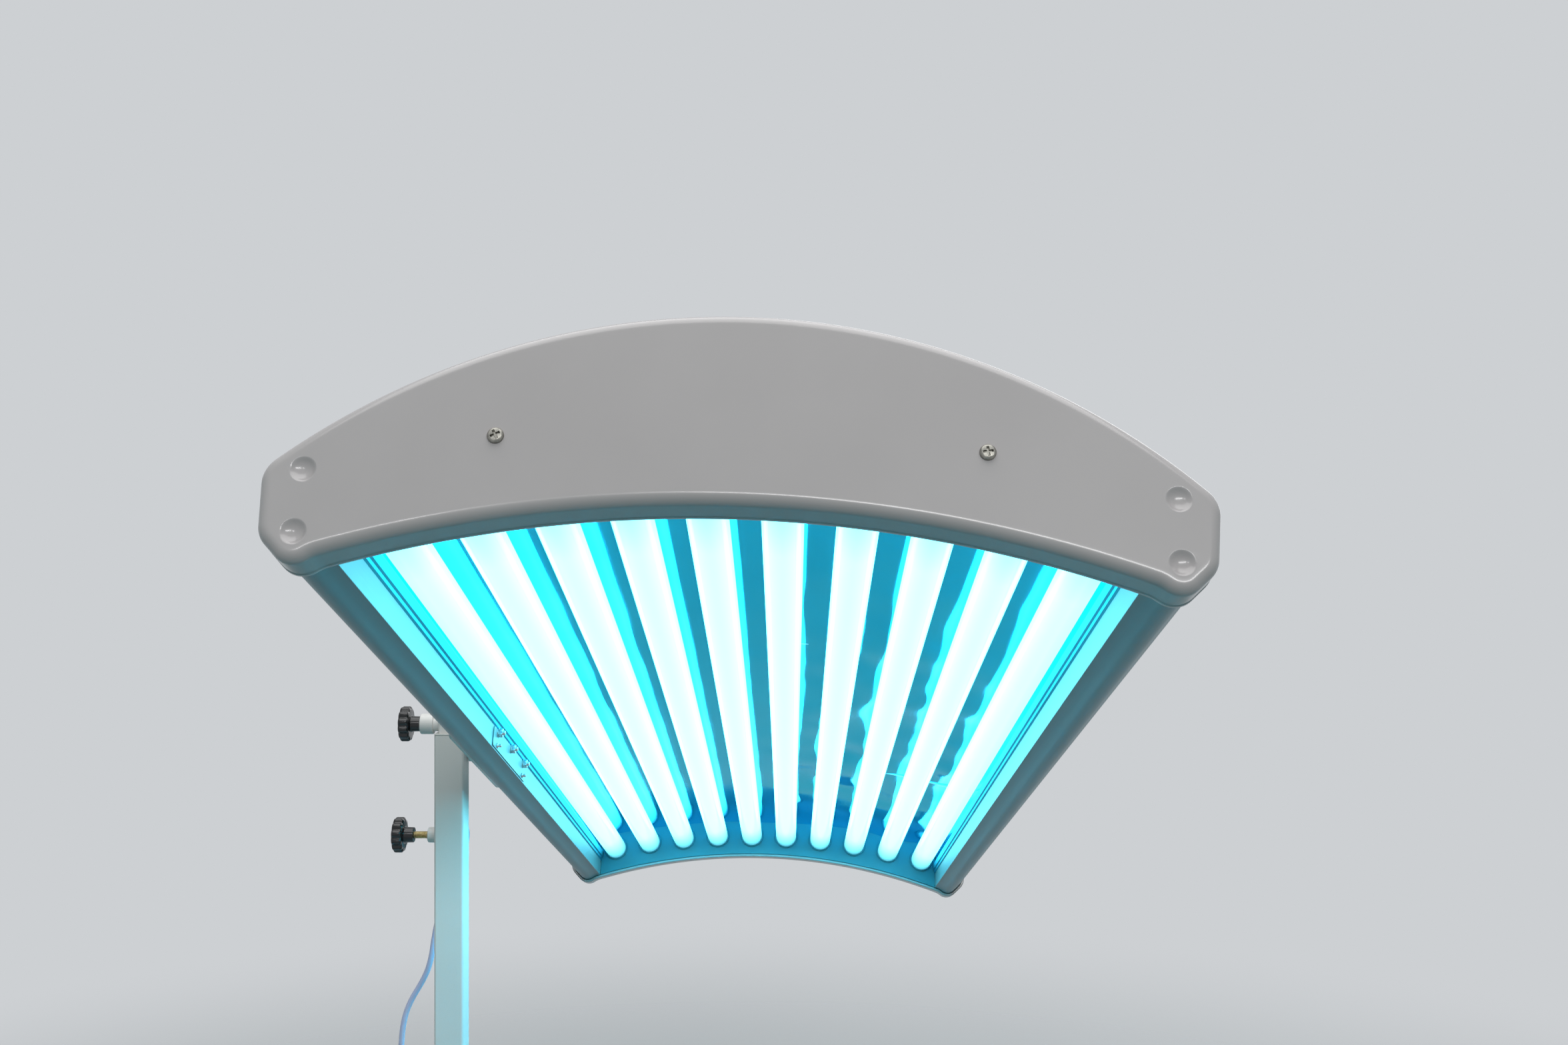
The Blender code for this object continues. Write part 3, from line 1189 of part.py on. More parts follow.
PLUG_AXIS = PLUG_RADIUS + FIT
coil_loops = coil_points(CORD_FLOOR)
lead_in = [Vector((COIL_START_X, COIL_CENTRE[1] - 2 * CORD_RADIUS, CORD_FLOOR))]
tail = []
for tail_step in (0.25, 0.5, 0.75, 1.0):
    rise = min(1.0, tail_step / 0.75)
    tail_height = coil_loops[-1].z + (PLUG_AXIS - coil_loops[-1].z) * rise
    tail.append(Vector((coil_loops[-1].x, coil_loops[-1].y - TAIL_LENGTH * tail_step, tail_height)))
coil_route = lead_in + coil_loops + tail
tube("cord_coil", coil_route, CORD_RADIUS, 1, white_pvc, stand)
print("least gap between the coil's turns, mm:", round(1000 * least_self_gap(coil_route), 2))


def mains_plug():
    x = tail[-1].x
    back = tail[-1].y - FIT
    front = back - PLUG_LENGTH
    profile = [(0, back), (1.5 * CORD_RADIUS, back), (0.55 * PLUG_RADIUS, back - 0.45 * PLUG_LENGTH),
               (PLUG_RADIUS, back - 0.62 * PLUG_LENGTH), (PLUG_RADIUS, front + 0.05 * PLUG_LENGTH),
               (0.94 * PLUG_RADIUS, front), (0, front)]
    shape = bmesh.new()
    add_lathe(shape, profile, BOSS_SIDES, "Y", (x, PLUG_AXIS))
    item = piece("mains_plug", shape, white_pvc, stand)
    pins = bmesh.new()
    pin = [(0, front + PLUG_PIN_RADIUS), (PLUG_PIN_RADIUS, front + PLUG_PIN_RADIUS),
           (PLUG_PIN_RADIUS, front - PLUG_PIN_LENGTH), (0, front - PLUG_PIN_LENGTH)]
    for side in (-1, 1):
        add_lathe(pins, pin, SMALL_SIDES, "Y", (x + side * PLUG_PIN_SPREAD, PLUG_AXIS))
    combine(item, pins, "UNION")


mains_plug()

# Centre the stand and its canopy over the origin, with the wheels on the floor
bpy.context.view_layer.update()
corners = []
for item in bpy.context.collection.objects:
    if item.type != "EMPTY" and item.name not in CORD_NODES:
        corners += [item.matrix_world @ vert.co for vert in item.data.vertices]
for axis_index in (0, 1):
    values = [corner[axis_index] for corner in corners]
    stand.location[axis_index] = -(min(values) + max(values)) / 2
bpy.context.view_layer.update()
for label, frame in (("pivot", mast_frame), ("clamp", clamp_frame)):
    print(label, [round(value, 5) for value in frame.matrix_world.translation])
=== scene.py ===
"""Tanning canopy on a side post: the finished look of every piece, over the frame of its CAD model."""

import json
from math import acos, asin, atan2, ceil, cos, hypot, pi, radians, sin, sqrt, tan

import bmesh
import bpy
from mathutils import Matrix, Vector, noise


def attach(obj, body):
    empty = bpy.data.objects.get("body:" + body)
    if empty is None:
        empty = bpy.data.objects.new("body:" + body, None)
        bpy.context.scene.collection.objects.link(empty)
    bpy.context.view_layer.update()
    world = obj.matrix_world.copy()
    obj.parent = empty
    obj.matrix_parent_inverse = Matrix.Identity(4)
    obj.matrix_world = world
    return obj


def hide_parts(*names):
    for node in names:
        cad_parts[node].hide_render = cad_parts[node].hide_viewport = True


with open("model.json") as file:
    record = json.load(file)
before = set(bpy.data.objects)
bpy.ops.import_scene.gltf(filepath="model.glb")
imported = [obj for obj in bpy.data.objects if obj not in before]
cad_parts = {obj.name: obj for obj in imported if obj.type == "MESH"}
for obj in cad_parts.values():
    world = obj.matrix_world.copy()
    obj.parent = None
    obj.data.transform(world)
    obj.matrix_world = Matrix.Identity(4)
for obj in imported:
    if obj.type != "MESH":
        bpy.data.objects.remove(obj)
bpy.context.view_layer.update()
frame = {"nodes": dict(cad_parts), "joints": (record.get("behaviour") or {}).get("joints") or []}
nodes = frame["nodes"]

# Studio: a pale matt floor and a pale surround, with soft panels of light above and in front.
# The camera stands level at the canopy's near end, a little right of its middle.
CAMERA_PLACE = (0.1021, -2.1205, 1.4767)
CAMERA_TURN = radians(0.18)
IMAGE_WIDTH = 2352
FOCAL_LENGTH = 2300
SENSOR = 36.0
TONE_SPOTS = (0.35, 0.65)
GRAIN_SPREAD = (0.3, 0.7)
FLOOR_RADIUS = 9.0
FLOOR_SIDES = 96
FLOOR_FADE = (1.1, 3.6)
FLOOR_TONES = ("C3C6C9", "C7CACD")
FLOOR_BOUNCE = "3A7A80"
SURROUND_TONE = "CDD0D3"
AMBIENT_TONE = "BCD9DB"
AMBIENT = 0.28
PANELS = (
    ("overhead panel", (0.1, -0.4, 4.0), (0.1, 0.0, 1.0), (3.4, 3.4), 78),
    ("front strip", (1.0, -4.4, 3.35), (0.1, -0.9, 1.5), (2.6, 0.45), 58),
    ("left strip", (-1.1, -4.2, 3.35), (0.1, -0.9, 1.5), (0.5, 0.4), 8),
    ("back panel", (1.6, 3.8, 2.8), (0.1, 0.3, 1.0), (3.0, 3.0), 34),
)


def linear(code):
    """Turn an sRGB hex colour into linear values."""
    channels = [int(code[i:i + 2], 16) / 255 for i in (0, 2, 4)]
    return [c / 12.92 if c <= 0.04045 else ((c + 0.055) / 1.055) ** 2.4 for c in channels]


def add_node(tree, kind, feeds=None, **options):
    """Add a shader node, set its options, and fill its inputs with values or with other nodes' outputs."""
    node = tree.nodes.new("ShaderNode" + kind)
    for name, value in options.items():
        setattr(node, name, value)
    for socket, value in (feeds or {}).items():
        if isinstance(value, bpy.types.NodeSocket):
            tree.links.new(value, node.inputs[socket])
        else:
            node.inputs[socket].default_value = value
    return node


def finish(name, codes, roughness, drift, grain, relief, metallic=0.0, coat=0.0):
    """A procedural surface. Its colour drifts between two tones over the drift, in mm; its gloss and relief
    follow a grain of x, y and z sizes, in mm."""
    material = bpy.data.materials.new(name)
    material.use_nodes = True
    tree = material.node_tree
    shader = tree.nodes["Principled BSDF"]
    shader.inputs["Metallic"].default_value = metallic
    shader.inputs["Coat Weight"].default_value = coat
    place = add_node(tree, "TexCoord").outputs["Object"]
    slow = add_node(tree, "TexNoise", {"Vector": place, "Scale": 1000 / drift, "Detail": 4.0})
    tones = add_node(tree, "ValToRGB", {"Fac": slow.outputs["Fac"]})
    for element, code, spot in zip(tones.color_ramp.elements, codes, TONE_SPOTS):
        element.position = spot
        element.color = (*linear(code), 1.0)
    sized = add_node(tree, "Mapping", {"Vector": place, "Scale": [1000 / size for size in grain]})
    fine = add_node(tree, "TexNoise", {"Vector": sized.outputs["Vector"], "Scale": 1.0, "Detail": 2.0})
    gloss = add_node(tree, "MapRange", {"Value": fine.outputs["Fac"], "From Min": GRAIN_SPREAD[0],
                                        "From Max": GRAIN_SPREAD[1], "To Min": roughness[0],
                                        "To Max": roughness[1]})
    bump = add_node(tree, "Bump", {"Height": fine.outputs["Fac"], "Distance": relief / 1000})
    tree.links.new(tones.outputs["Color"], shader.inputs["Base Color"])
    tree.links.new(gloss.outputs["Result"], shader.inputs["Roughness"])
    tree.links.new(bump.outputs["Normal"], shader.inputs["Normal"])
    return material


def shown_rays(tree):
    """1 for the rays that show the background: from the camera, off gloss and through glass."""
    rays = add_node(tree, "LightPath").outputs
    seen = rays["Is Camera Ray"]
    for kind in ("Is Glossy Ray", "Is Transmission Ray"):
        seen = add_node(tree, "Math", {0: seen, 1: rays[kind]}, operation="MAXIMUM").outputs[0]
    return seen


scene = bpy.context.scene
scene.view_settings.view_transform = "Standard"
camera = bpy.data.objects.new("camera", bpy.data.cameras.new("camera"))
camera.data.sensor_width = SENSOR
camera.data.lens = SENSOR * FOCAL_LENGTH / IMAGE_WIDTH
camera.location = CAMERA_PLACE
camera.rotation_euler = (pi / 2, 0, CAMERA_TURN)
scene.collection.objects.link(camera)
scene.camera = camera

for panel_name, panel_place, aim, size, power in PANELS:
    lamp_data = bpy.data.lights.new(panel_name, "AREA")
    lamp_data.shape = "RECTANGLE"
    lamp_data.size, lamp_data.size_y = size
    lamp_data.energy = power
    panel = bpy.data.objects.new(panel_name, lamp_data)
    panel.location = panel_place
    panel.rotation_euler = (Vector(aim) - Vector(panel_place)).to_track_quat("-Z", "Y").to_euler()
    scene.collection.objects.link(panel)

world = bpy.data.worlds.new("studio surround")
scene.world = world
world.use_nodes = True
surround = world.node_tree
surround.nodes.clear()
lit = add_node(surround, "Background", {"Color": (*linear(AMBIENT_TONE), 1.0), "Strength": AMBIENT})
shown = add_node(surround, "Background", {"Color": (*linear(SURROUND_TONE), 1.0), "Strength": 1.0})
both = add_node(surround, "MixShader", {0: shown_rays(surround), 1: lit.outputs[0], 2: shown.outputs[0]})
add_node(surround, "OutputWorld", {"Surface": both.outputs[0]})

floor_shape = bmesh.new()
bmesh.ops.create_circle(floor_shape, cap_ends=True, segments=FLOOR_SIDES, radius=FLOOR_RADIUS)
floor_mesh = bpy.data.meshes.new("studio floor")
floor_shape.to_mesh(floor_mesh)
floor_shape.free()
# Matt floor sheet: pale, even and dull, fading into the surround a few metres out so that no edge shows.
# The light that it throws back up at the canopy is tinted as the lamps tint a room.
matt = finish("matt studio floor", FLOOR_TONES, roughness=(0.75, 0.85), drift=900, grain=(6, 6, 6),
              relief=0.02)
floor_tree = matt.node_tree
floor_place = add_node(floor_tree, "TexCoord").outputs["Object"]
reach = add_node(floor_tree, "VectorMath", {0: floor_place}, operation="LENGTH")
fade = add_node(floor_tree, "MapRange", {"Value": reach.outputs["Value"], "From Min": FLOOR_FADE[0],
                                         "From Max": FLOOR_FADE[1]}, interpolation_type="SMOOTHSTEP")
bounce = add_node(floor_tree, "BsdfDiffuse", {"Color": (*linear(FLOOR_BOUNCE), 1.0)})
sheet = add_node(floor_tree, "MixShader", {0: shown_rays(floor_tree), 1: bounce.outputs[0],
                                           2: floor_tree.nodes["Principled BSDF"].outputs[0]})
faded = add_node(floor_tree, "MixShader", {0: fade.outputs[0], 1: sheet.outputs[0],
                                           2: add_node(floor_tree, "BsdfTransparent").outputs[0]})
floor_tree.links.new(faded.outputs[0], floor_tree.nodes["Material Output"].inputs["Surface"])
floor_mesh.materials.append(matt)
floor = bpy.data.objects.new("studio floor", floor_mesh)
scene.collection.objects.link(floor)

# Side rails: hollow aluminium extrusions along both edges of the canopy, lacquered. The lamp panels, the
# reflector, the skin and the end caps are all fixed to them.
CANOPY_LENGTH = 1.920
HALF_WIDTH = 0.3775
CROWN_RADIUS = 0.558
CROWN_TOP = 0.1850
CROWN_CENTRE = (0.0, CROWN_TOP - CROWN_RADIUS)
APERTURE_RADIUS = 1.030
APERTURE_TOP = 0.0165
APERTURE_CENTRE = (0.0, APERTURE_TOP - APERTURE_RADIUS)
LOWER_RADIUS = 0.020
LOWER_INSET = 0.0312
LOWER_CENTRE = (HALF_WIDTH - LOWER_INSET, -0.025)
FLANK_SLOPE = radians(45)
SIDE_BEND_RADIUS = 0.023
SIDE_BEND_X = HALF_WIDTH - SIDE_BEND_RADIUS
SIDE_BEND_RISE = (SIDE_BEND_X - LOWER_CENTRE[0]) * cos(FLANK_SLOPE) + SIDE_BEND_RADIUS - LOWER_RADIUS
SIDE_BEND_CENTRE = (SIDE_BEND_X, LOWER_CENTRE[1] + SIDE_BEND_RISE / sin(FLANK_SLOPE))
BLEND_RADIUS = 0.030
UPPER_RADIUS = 0.026
FIT = 0.0003
BODY_INSET = 0.0048
BODY_START = 0.010
RAIL_INNER_X = 0.3225
RAIL_WALL = 0.0016
REBATE_X = 0.3238
REFLECTOR_EDGE = 0.0140
SKIN_EDGE_X = 0.335
LEDGE_WIDTH = 0.017
LEDGE_INSET = 0.0063
TILT = radians(20.58)
SAG = radians(2.15)
CANOPY_REACH = 0.4245
PIVOT_STATION = 0.945
PIVOT_RISE = 0.0434
STRAIGHT = radians(155)
CORNER_SHARE = 0.45
BROKEN_EDGE = 0.0006
BEVEL_ANGLE = radians(32)
# Painted lamp light and shade: the rails' teal grey tone stands for the lamps' blue-green light and the shade
# under the rails.
LAMP_TINTED_LACQUER_TONES = ("74939A", "7A99A0")

joints = {joint["name"]: joint for joint in frame["joints"]}
PIVOT = Vector(joints["canopy_tilt"]["pos_m"])
TILT_PLACE = Matrix.Translation(PIVOT) @ Matrix.Rotation(-TILT, 4, "X")
HANG_PLACE = TILT_PLACE @ Matrix.Rotation(SAG, 4, "Y")
CANOPY_PLACE = HANG_PLACE @ Matrix.Translation((CANOPY_REACH, -PIVOT_STATION, -PIVOT_RISE))
FAR_PLACE = CANOPY_PLACE @ Matrix.Translation((0, CANOPY_LENGTH, 0)) @ Matrix.Rotation(pi, 4, "Z")


def arc(centre, radius, start, end, steps):
    """Points along an arc in a plane, both ends included."""
    points = []
    for i in range(steps + 1):
        angle = start + (end - start) * i / steps
        points.append((centre[0] + radius * cos(angle), centre[1] + radius * sin(angle)))
    return points


def soften(outline, radius, steps=4):
    """Round every sharp corner of a closed outline."""
    softened = []
    for i, spot in enumerate(outline):
        corner = Vector(spot)
        back = Vector(outline[i - 1]) - corner
        ahead = Vector(outline[(i + 1) % len(outline)]) - corner
        opening = back.angle(ahead)
        if opening > STRAIGHT:
            softened.append(spot)
            continue
        reach = min(radius / tan(opening / 2), CORNER_SHARE * back.length, CORNER_SHARE * ahead.length)
        first = corner + back.normalized() * reach
        last = corner + ahead.normalized() * reach
        for k in range(steps + 1):
            t = k / steps
            softened.append(tuple(first * (1 - t) ** 2 + corner * 2 * t * (1 - t) + last * t * t))
    return softened


def placed(axis, u, v, along):
    """A point from two coordinates across an axis and one along it."""
    return {"X": (along, u, v), "Y": (u, along, v), "Z": (u, v, along)}[axis]


def fill(shape, loops):
    """Fill the first loop of points, less the loops inside it."""
    edges = []
    for loop in loops:
        for first, second in zip(loop, loop[1:] + loop[:1]):
            edges.append(shape.edges.get((first, second)) or shape.edges.new((first, second)))
    bmesh.ops.triangle_fill(shape, edges=edges, use_beauty=True)


def wall(shape, lower, upper):
    """Join two loops that have as many points each."""
    for i in range(len(lower)):
        j = (i + 1) % len(lower)
        shape.faces.new((lower[i], lower[j], upper[j], upper[i]))


def extrude(shape, outline, start, end, axis, holes=()):
    """Extrude an outline, less its holes, along an axis."""
    ends = []
    for along in (start, end):
        loops = [[shape.verts.new(placed(axis, u, v, along)) for u, v in loop] for loop in (outline, *holes)]
        fill(shape, loops)
        ends.append(loops)
    for lower, upper in zip(*ends):
        wall(shape, lower, upper)


def build(name, shape, material, body, place, replaced=(), bevel=0.0, sharp=38):
    """Turn a shape into a named piece in its place, on its body, standing for the nodes that it replaces."""
    bmesh.ops.recalc_face_normals(shape, faces=shape.faces)
    mesh = bpy.data.meshes.new(name)
    shape.to_mesh(mesh)
    shape.free()
    mesh.materials.append(material)
    mesh.shade_smooth()
    piece = bpy.data.objects.new(name, mesh)
    scene.collection.objects.link(piece)
    piece.matrix_world = place
    if bevel:
        edge = piece.modifiers.new("soft edges", "BEVEL")
        edge.width = bevel
        edge.segments = 3
        edge.limit_method = "ANGLE"
        edge.angle_limit = BEVEL_ANGLE
    else:
        mesh.set_sharp_from_angle(angle=radians(sharp))
    flat = piece.modifiers.new("flat faces", "WEIGHTED_NORMAL")
    flat.keep_sharp = True
    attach(piece, body)
    if replaced:
        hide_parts(*replaced)
    return piece


def crown_angle(x, inset):
    """Where the crown arc of an inset section stands over x."""
    return acos(x / (CROWN_RADIUS - inset))


def crown_height(x, inset):
    """Height of the crown arc of an inset section over x."""
    return CROWN_CENTRE[1] + sqrt((CROWN_RADIUS - inset) ** 2 - x * x)


def circles_meet(first, first_radius, second, second_radius):
    """The crossing of two circles that lies to the left of the line from the first to the second."""
    dx = second[0] - first[0]
    dz = second[1] - first[1]
    gap = hypot(dx, dz)
    along = (gap * gap + first_radius ** 2 - second_radius ** 2) / (2 * gap)
    off = sqrt(first_radius ** 2 - along ** 2)
    return (first[0] + (along * dx - off * dz) / gap, first[1] + (along * dz + off * dx) / gap)


BLEND_CENTRE = circles_meet(APERTURE_CENTRE, APERTURE_RADIUS - BLEND_RADIUS,
                            LOWER_CENTRE, LOWER_RADIUS + BLEND_RADIUS)
APERTURE_END = atan2(BLEND_CENTRE[1] - APERTURE_CENTRE[1], BLEND_CENTRE[0])
BLEND_END = atan2(LOWER_CENTRE[1] - BLEND_CENTRE[1], LOWER_CENTRE[0] - BLEND_CENTRE[0])


def upper_corner(flare):
    """Centre of the upper corner, the way the side below it faces, and where the crown starts, for sides
    that lean outwards by the flare."""
    x = HALF_WIDTH + flare - UPPER_RADIUS
    centre = (x, CROWN_CENTRE[1] + sqrt((CROWN_RADIUS - UPPER_RADIUS) ** 2 - x * x))
    dx = x - SIDE_BEND_CENTRE[0]
    dz = centre[1] - SIDE_BEND_CENTRE[1]
    facing = atan2(dz, dx) - acos((SIDE_BEND_RADIUS - UPPER_RADIUS) / hypot(dx, dz))
    return centre, facing, atan2(centre[1] - CROWN_CENTRE[1], x)


def corner_run(inset, flare):
    """The right hand corners of the section: lower corner, sloping flank, straight side and upper corner."""
    centre, facing, crown_start = upper_corner(flare)
    points = arc(LOWER_CENTRE, LOWER_RADIUS - inset, BLEND_END - pi, -FLANK_SLOPE, 14)
    points += arc(SIDE_BEND_CENTRE, SIDE_BEND_RADIUS - inset, -FLANK_SLOPE, facing, 10)
    return points + arc(centre, UPPER_RADIUS - inset, facing, crown_start, 12)


def rail_outline():
    """The rail's section: round outer corners, a ledge for the skin and a rebate for the reflector."""
    ledge_x = SKIN_EDGE_X - LEDGE_WIDTH
    start = acos((RAIL_INNER_X - BLEND_CENTRE[0]) / (BLEND_RADIUS + BODY_INSET))
    points = arc(BLEND_CENTRE, BLEND_RADIUS + BODY_INSET, start, BLEND_END, 6)
    points += corner_run(BODY_INSET, 0.0)[1:]
    points += arc(CROWN_CENTRE, CROWN_RADIUS - BODY_INSET, upper_corner(0.0)[2],
                  crown_angle(SKIN_EDGE_X, BODY_INSET), 4)[1:]
    points += [(SKIN_EDGE_X, crown_height(SKIN_EDGE_X, LEDGE_INSET)),
               (ledge_x, crown_height(ledge_x, LEDGE_INSET)),
               (ledge_x, crown_height(ledge_x, LEDGE_INSET + RAIL_WALL)),
               (REBATE_X, crown_height(REBATE_X, LEDGE_INSET + RAIL_WALL)),
               (REBATE_X, REFLECTOR_EDGE), (RAIL_INNER_X, REFLECTOR_EDGE)]
    return soften(points, BROKEN_EDGE)


# Lacquer: an even satin coat, faintly lined along the extrusion. Its teal grey tone is painted lamp light and
# shade.
lacquer = finish("lacquer with painted lamp light and shade", LAMP_TINTED_LACQUER_TONES, roughness=(0.36, 0.42), drift=400, grain=(0.5, 90, 0.5),
                 relief=0.002)
for rail_name, side in (("post_side_rail", -1), ("free_side_rail", 1)):
    rail_shape = bmesh.new()
    rail_section = [(side * x, z) for x, z in rail_outline()]
    extrude(rail_shape, rail_section, BODY_START, CANOPY_LENGTH - BODY_START, "Y")
    build(rail_name + "_extrusion", rail_shape, lacquer, "canopy", CANOPY_PLACE,
          [rail_name])

# Formers and ballasts: the plates and wound chokes inside the hood. They keep their CAD shape, plain
# rolled plate and varnished steel stacks that no view from outside reaches.
BALLAST_COUNT = 5
ROLLED_TONES = ("B9BDC0", "C3C7C9")
VARNISH_TONES = ("63686C", "73787C")

# Rolled aluminium plate: dull silver with faint lines; varnished steel: dark, with its stacked sheets' edges
rolled = finish("rolled aluminium plate", ROLLED_TONES, roughness=(0.3, 0.45), drift=120, grain=(40, 40, 0.6),
                relief=0.004, metallic=1.0)
varnished = finish("varnished steel stack", VARNISH_TONES, roughness=(0.4, 0.6), drift=40, grain=(0.7, 60, 60),
                   relief=0.05)
for node_name in ("near_former", "far_former"):
    nodes[node_name].data.materials[0] = rolled
for number in range(1, BALLAST_COUNT + 1):
    nodes[f"ballast_{number}"].data.materials[0] = varnished

# Reflector: one thin sheet of polished aluminium sprung into an arch behind the lamps, its edges turned
# down into the rails' rebates. Thin sheet never lies quite flat, so its mirror is a little wavy.
LAMP_ARC_RADIUS = 1.280
LAMP_ARC_TOP = 0.0566
LAMP_ARC_CENTRE = (0.0, LAMP_ARC_TOP - LAMP_ARC_RADIUS)
LAMP_TO_SHEET = 0.0258
SHEET_RADIUS = LAMP_ARC_RADIUS + LAMP_TO_SHEET
SHEET_FLANGE_X = 0.3230
SHEET_CORNER = 0.006
SHEET_GAP = 0.0011
PANEL_STATION = 0.037
SHEET_STATIONS = 176
SHEET_STEPS = 64
WAVE_HEIGHT = 0.0070
WAVE_MARGIN = 0.03
WAVE_ACROSS = (-0.06, 0.16, 0.12)
WAVE_ALONG = (0.2, 0.5, 0.25)
RIPPLES = ((0.085, 0.17, 3.7, 1.0), (0.045, 0.09, 9.1, 0.25))
# Painted reflection: the mirror's cyan tones and its edge tint stand for the lamps' light that it reflects.
REFLECTED_LAMP_TONES = ("38DAFB", "44E2FF")
REFLECTED_LAMP_EDGE = "BAF2FF"


def sheet_line():
    """The sheet's section: flange, bend, arch, bend and flange."""
    edge = acos((SHEET_FLANGE_X - SHEET_CORNER) / SHEET_RADIUS)
    arch = arc(LAMP_ARC_CENTRE, SHEET_RADIUS, pi - edge, edge, SHEET_STEPS)
    top = arch[-1][1]
    bend = arc((SHEET_FLANGE_X - SHEET_CORNER, top - SHEET_CORNER), SHEET_CORNER, pi / 2, 0, 5)[1:]
    flange = bend + [(SHEET_FLANGE_X, REFLECTOR_EDGE + SHEET_GAP)]
    return [(-x, z) for x, z in flange[::-1]] + arch + flange


def ramp(value, start, run, lowest=0.0):
    """A share that grows to 1 over a run from its start, and never falls under the lowest."""
    return min(1.0, max(lowest, (value - start) / run))


def wave(x, station):
    """How far the sheet stands off its arch: long ripples, strongest past the middle on the free side."""
    spread = ramp(x, *WAVE_ACROSS) * ramp(station, *WAVE_ALONG)
    margin = ramp(SHEET_FLANGE_X - abs(x), 0.0, WAVE_MARGIN)
    ripple = 0.0
    for width, length, layer, share in RIPPLES:
        ripple += share * noise.noise(Vector((x / width, station / length, layer)))
    return WAVE_HEIGHT * spread * margin * ripple


sheet_shape = bmesh.new()
sheet_rows = []
for i in range(SHEET_STATIONS + 1):
    station = PANEL_STATION + FIT + (CANOPY_LENGTH - 2 * PANEL_STATION - 2 * FIT) * i / SHEET_STATIONS
    sheet_rows.append([sheet_shape.verts.new((x, station, z + wave(x, station))) for x, z in sheet_line()])
for lower_row, upper_row in zip(sheet_rows, sheet_rows[1:]):
    for k in range(len(lower_row) - 1):
        sheet_shape.faces.new((lower_row[k], lower_row[k + 1], upper_row[k + 1], upper_row[k]))
# Polished aluminium: a clear mirror with fine rolling lines along it. Its cyan colour and its pale blue edge
# tint are a painted reflection of the lamps.
bright = finish("polished aluminium with painted lamp reflection", REFLECTED_LAMP_TONES, roughness=(0.05, 0.12), drift=180, grain=(3, 400, 3),
                relief=0.002, metallic=1.0)
bright.node_tree.nodes["Principled BSDF"].inputs["Specular Tint"].default_value = (*linear(REFLECTED_LAMP_EDGE), 1.0)
build("reflector_sheet", sheet_shape, bright, "canopy", CANOPY_PLACE, ["reflector"])

# Edge strips: two stepped strips of satin aluminium, pressed on along the top of the rails' inner faces.
# They close the seam under the reflector's turned down edges.
STRIP_HEIGHTS = (0.0016, -0.0040)
STRIP_STEP = 0.0018
STRIP_SLOPE = 0.0020
# Painted lamp light and shade: the strips' blue-green tone stands for the lamps' light on them.
STRIP_LAMP_LIGHT_TONES = ("3CA6BE", "46B0C8")

# Satin rolled aluminium: dull soft shine, with fine lines along the strip. Its blue-green tone and edge tint
# are painted lamp light and shade.
satin = finish("satin aluminium strip with painted lamp light", STRIP_LAMP_LIGHT_TONES, roughness=(0.40, 0.46), drift=300, grain=(0.4, 120, 0.4),
               relief=0.002, metallic=1.0)
satin.node_tree.nodes["Principled BSDF"].inputs["Specular Tint"].default_value = (*linear(REFLECTED_LAMP_EDGE), 1.0)
for strip_name, side in (("post_side", -1), ("free_side", 1)):
    strip_outline = [(RAIL_INNER_X + FIT, REFLECTOR_EDGE), (RAIL_INNER_X - 2 * STRIP_STEP, REFLECTOR_EDGE)]
    for steps_left, height in zip((2, 1), STRIP_HEIGHTS):
        strip_outline += [(RAIL_INNER_X - steps_left * STRIP_STEP, height + STRIP_SLOPE),
                          (RAIL_INNER_X - (steps_left - 1) * STRIP_STEP, height)]
    strip_outline.append((RAIL_INNER_X + FIT, STRIP_HEIGHTS[1]))
    strip_shape = bmesh.new()
    extrude(strip_shape, [(side * x, z) for x, z in soften(strip_outline, BROKEN_EDGE)], PANEL_STATION + FIT,
            CANOPY_LENGTH - PANEL_STATION - FIT, "Y")
    build(strip_name + "_edge_strip", strip_shape, satin, "canopy", CANOPY_PLACE)

# Lamp panels: the end walls of the lamp space, moulded in ABS and punched for the lamps, with a collar
# round each lamp where its holder clips in from behind.
LAMP_COUNT = 10
LAMP_RADIUS = 0.019
OUTER_LAMP_GAP = 0.0264
LAMP_STEP = 2 * asin((RAIL_INNER_X - OUTER_LAMP_GAP) / LAMP_ARC_RADIUS) / (LAMP_COUNT - 1)
PANEL_THICKNESS = 0.002
MOUTH_GAP = 0.001
COLLAR_BORE = LAMP_RADIUS + 0.0006
COLLAR_RADIUS = 0.0225
COLLAR_PROFILE = (
    (COLLAR_BORE, -0.001), (COLLAR_BORE, 0.0020), (COLLAR_BORE + 0.0008, 0.0028),
    (COLLAR_RADIUS - 0.0012, 0.0028), (COLLAR_RADIUS, 0.0014), (COLLAR_RADIUS, -0.001),
)
ROUND = 48
# Painted lamp light and shade: the panels' dark teal tone stands for the lamps' light on a grey wall.
PANEL_LAMP_LIGHT_TONES = ("2E8090", "368898")


def lamp_place(index):
    """Centre of a lamp in the section. Lamps stand on a shallow arc at an even pitch."""
    angle = (index - (LAMP_COUNT - 1) / 2) * LAMP_STEP
    return (LAMP_ARC_RADIUS * sin(angle), LAMP_ARC_CENTRE[1] + LAMP_ARC_RADIUS * cos(angle))


def lathe(shape, profile, axis, centre=(0, 0), sides=ROUND):
    """Turn a run of (radius, along) points round an axis through the centre; radius 0 closes an end."""
    rings = []
    for radius, along in profile:
        if radius == 0:
            rings.append([shape.verts.new(placed(axis, *centre, along))] * sides)
            continue
        circle = arc(centre, radius, 0, 2 * pi, sides)[:-1]
        rings.append([shape.verts.new(placed(axis, u, v, along)) for u, v in circle])
    for lower, upper in zip(rings, rings[1:]):
        for i in range(sides):
            j = (i + 1) % sides
            corners = dict.fromkeys((lower[i], lower[j], upper[j], upper[i]))
            if len(corners) > 2:
                shape.faces.new(tuple(corners))
    return rings


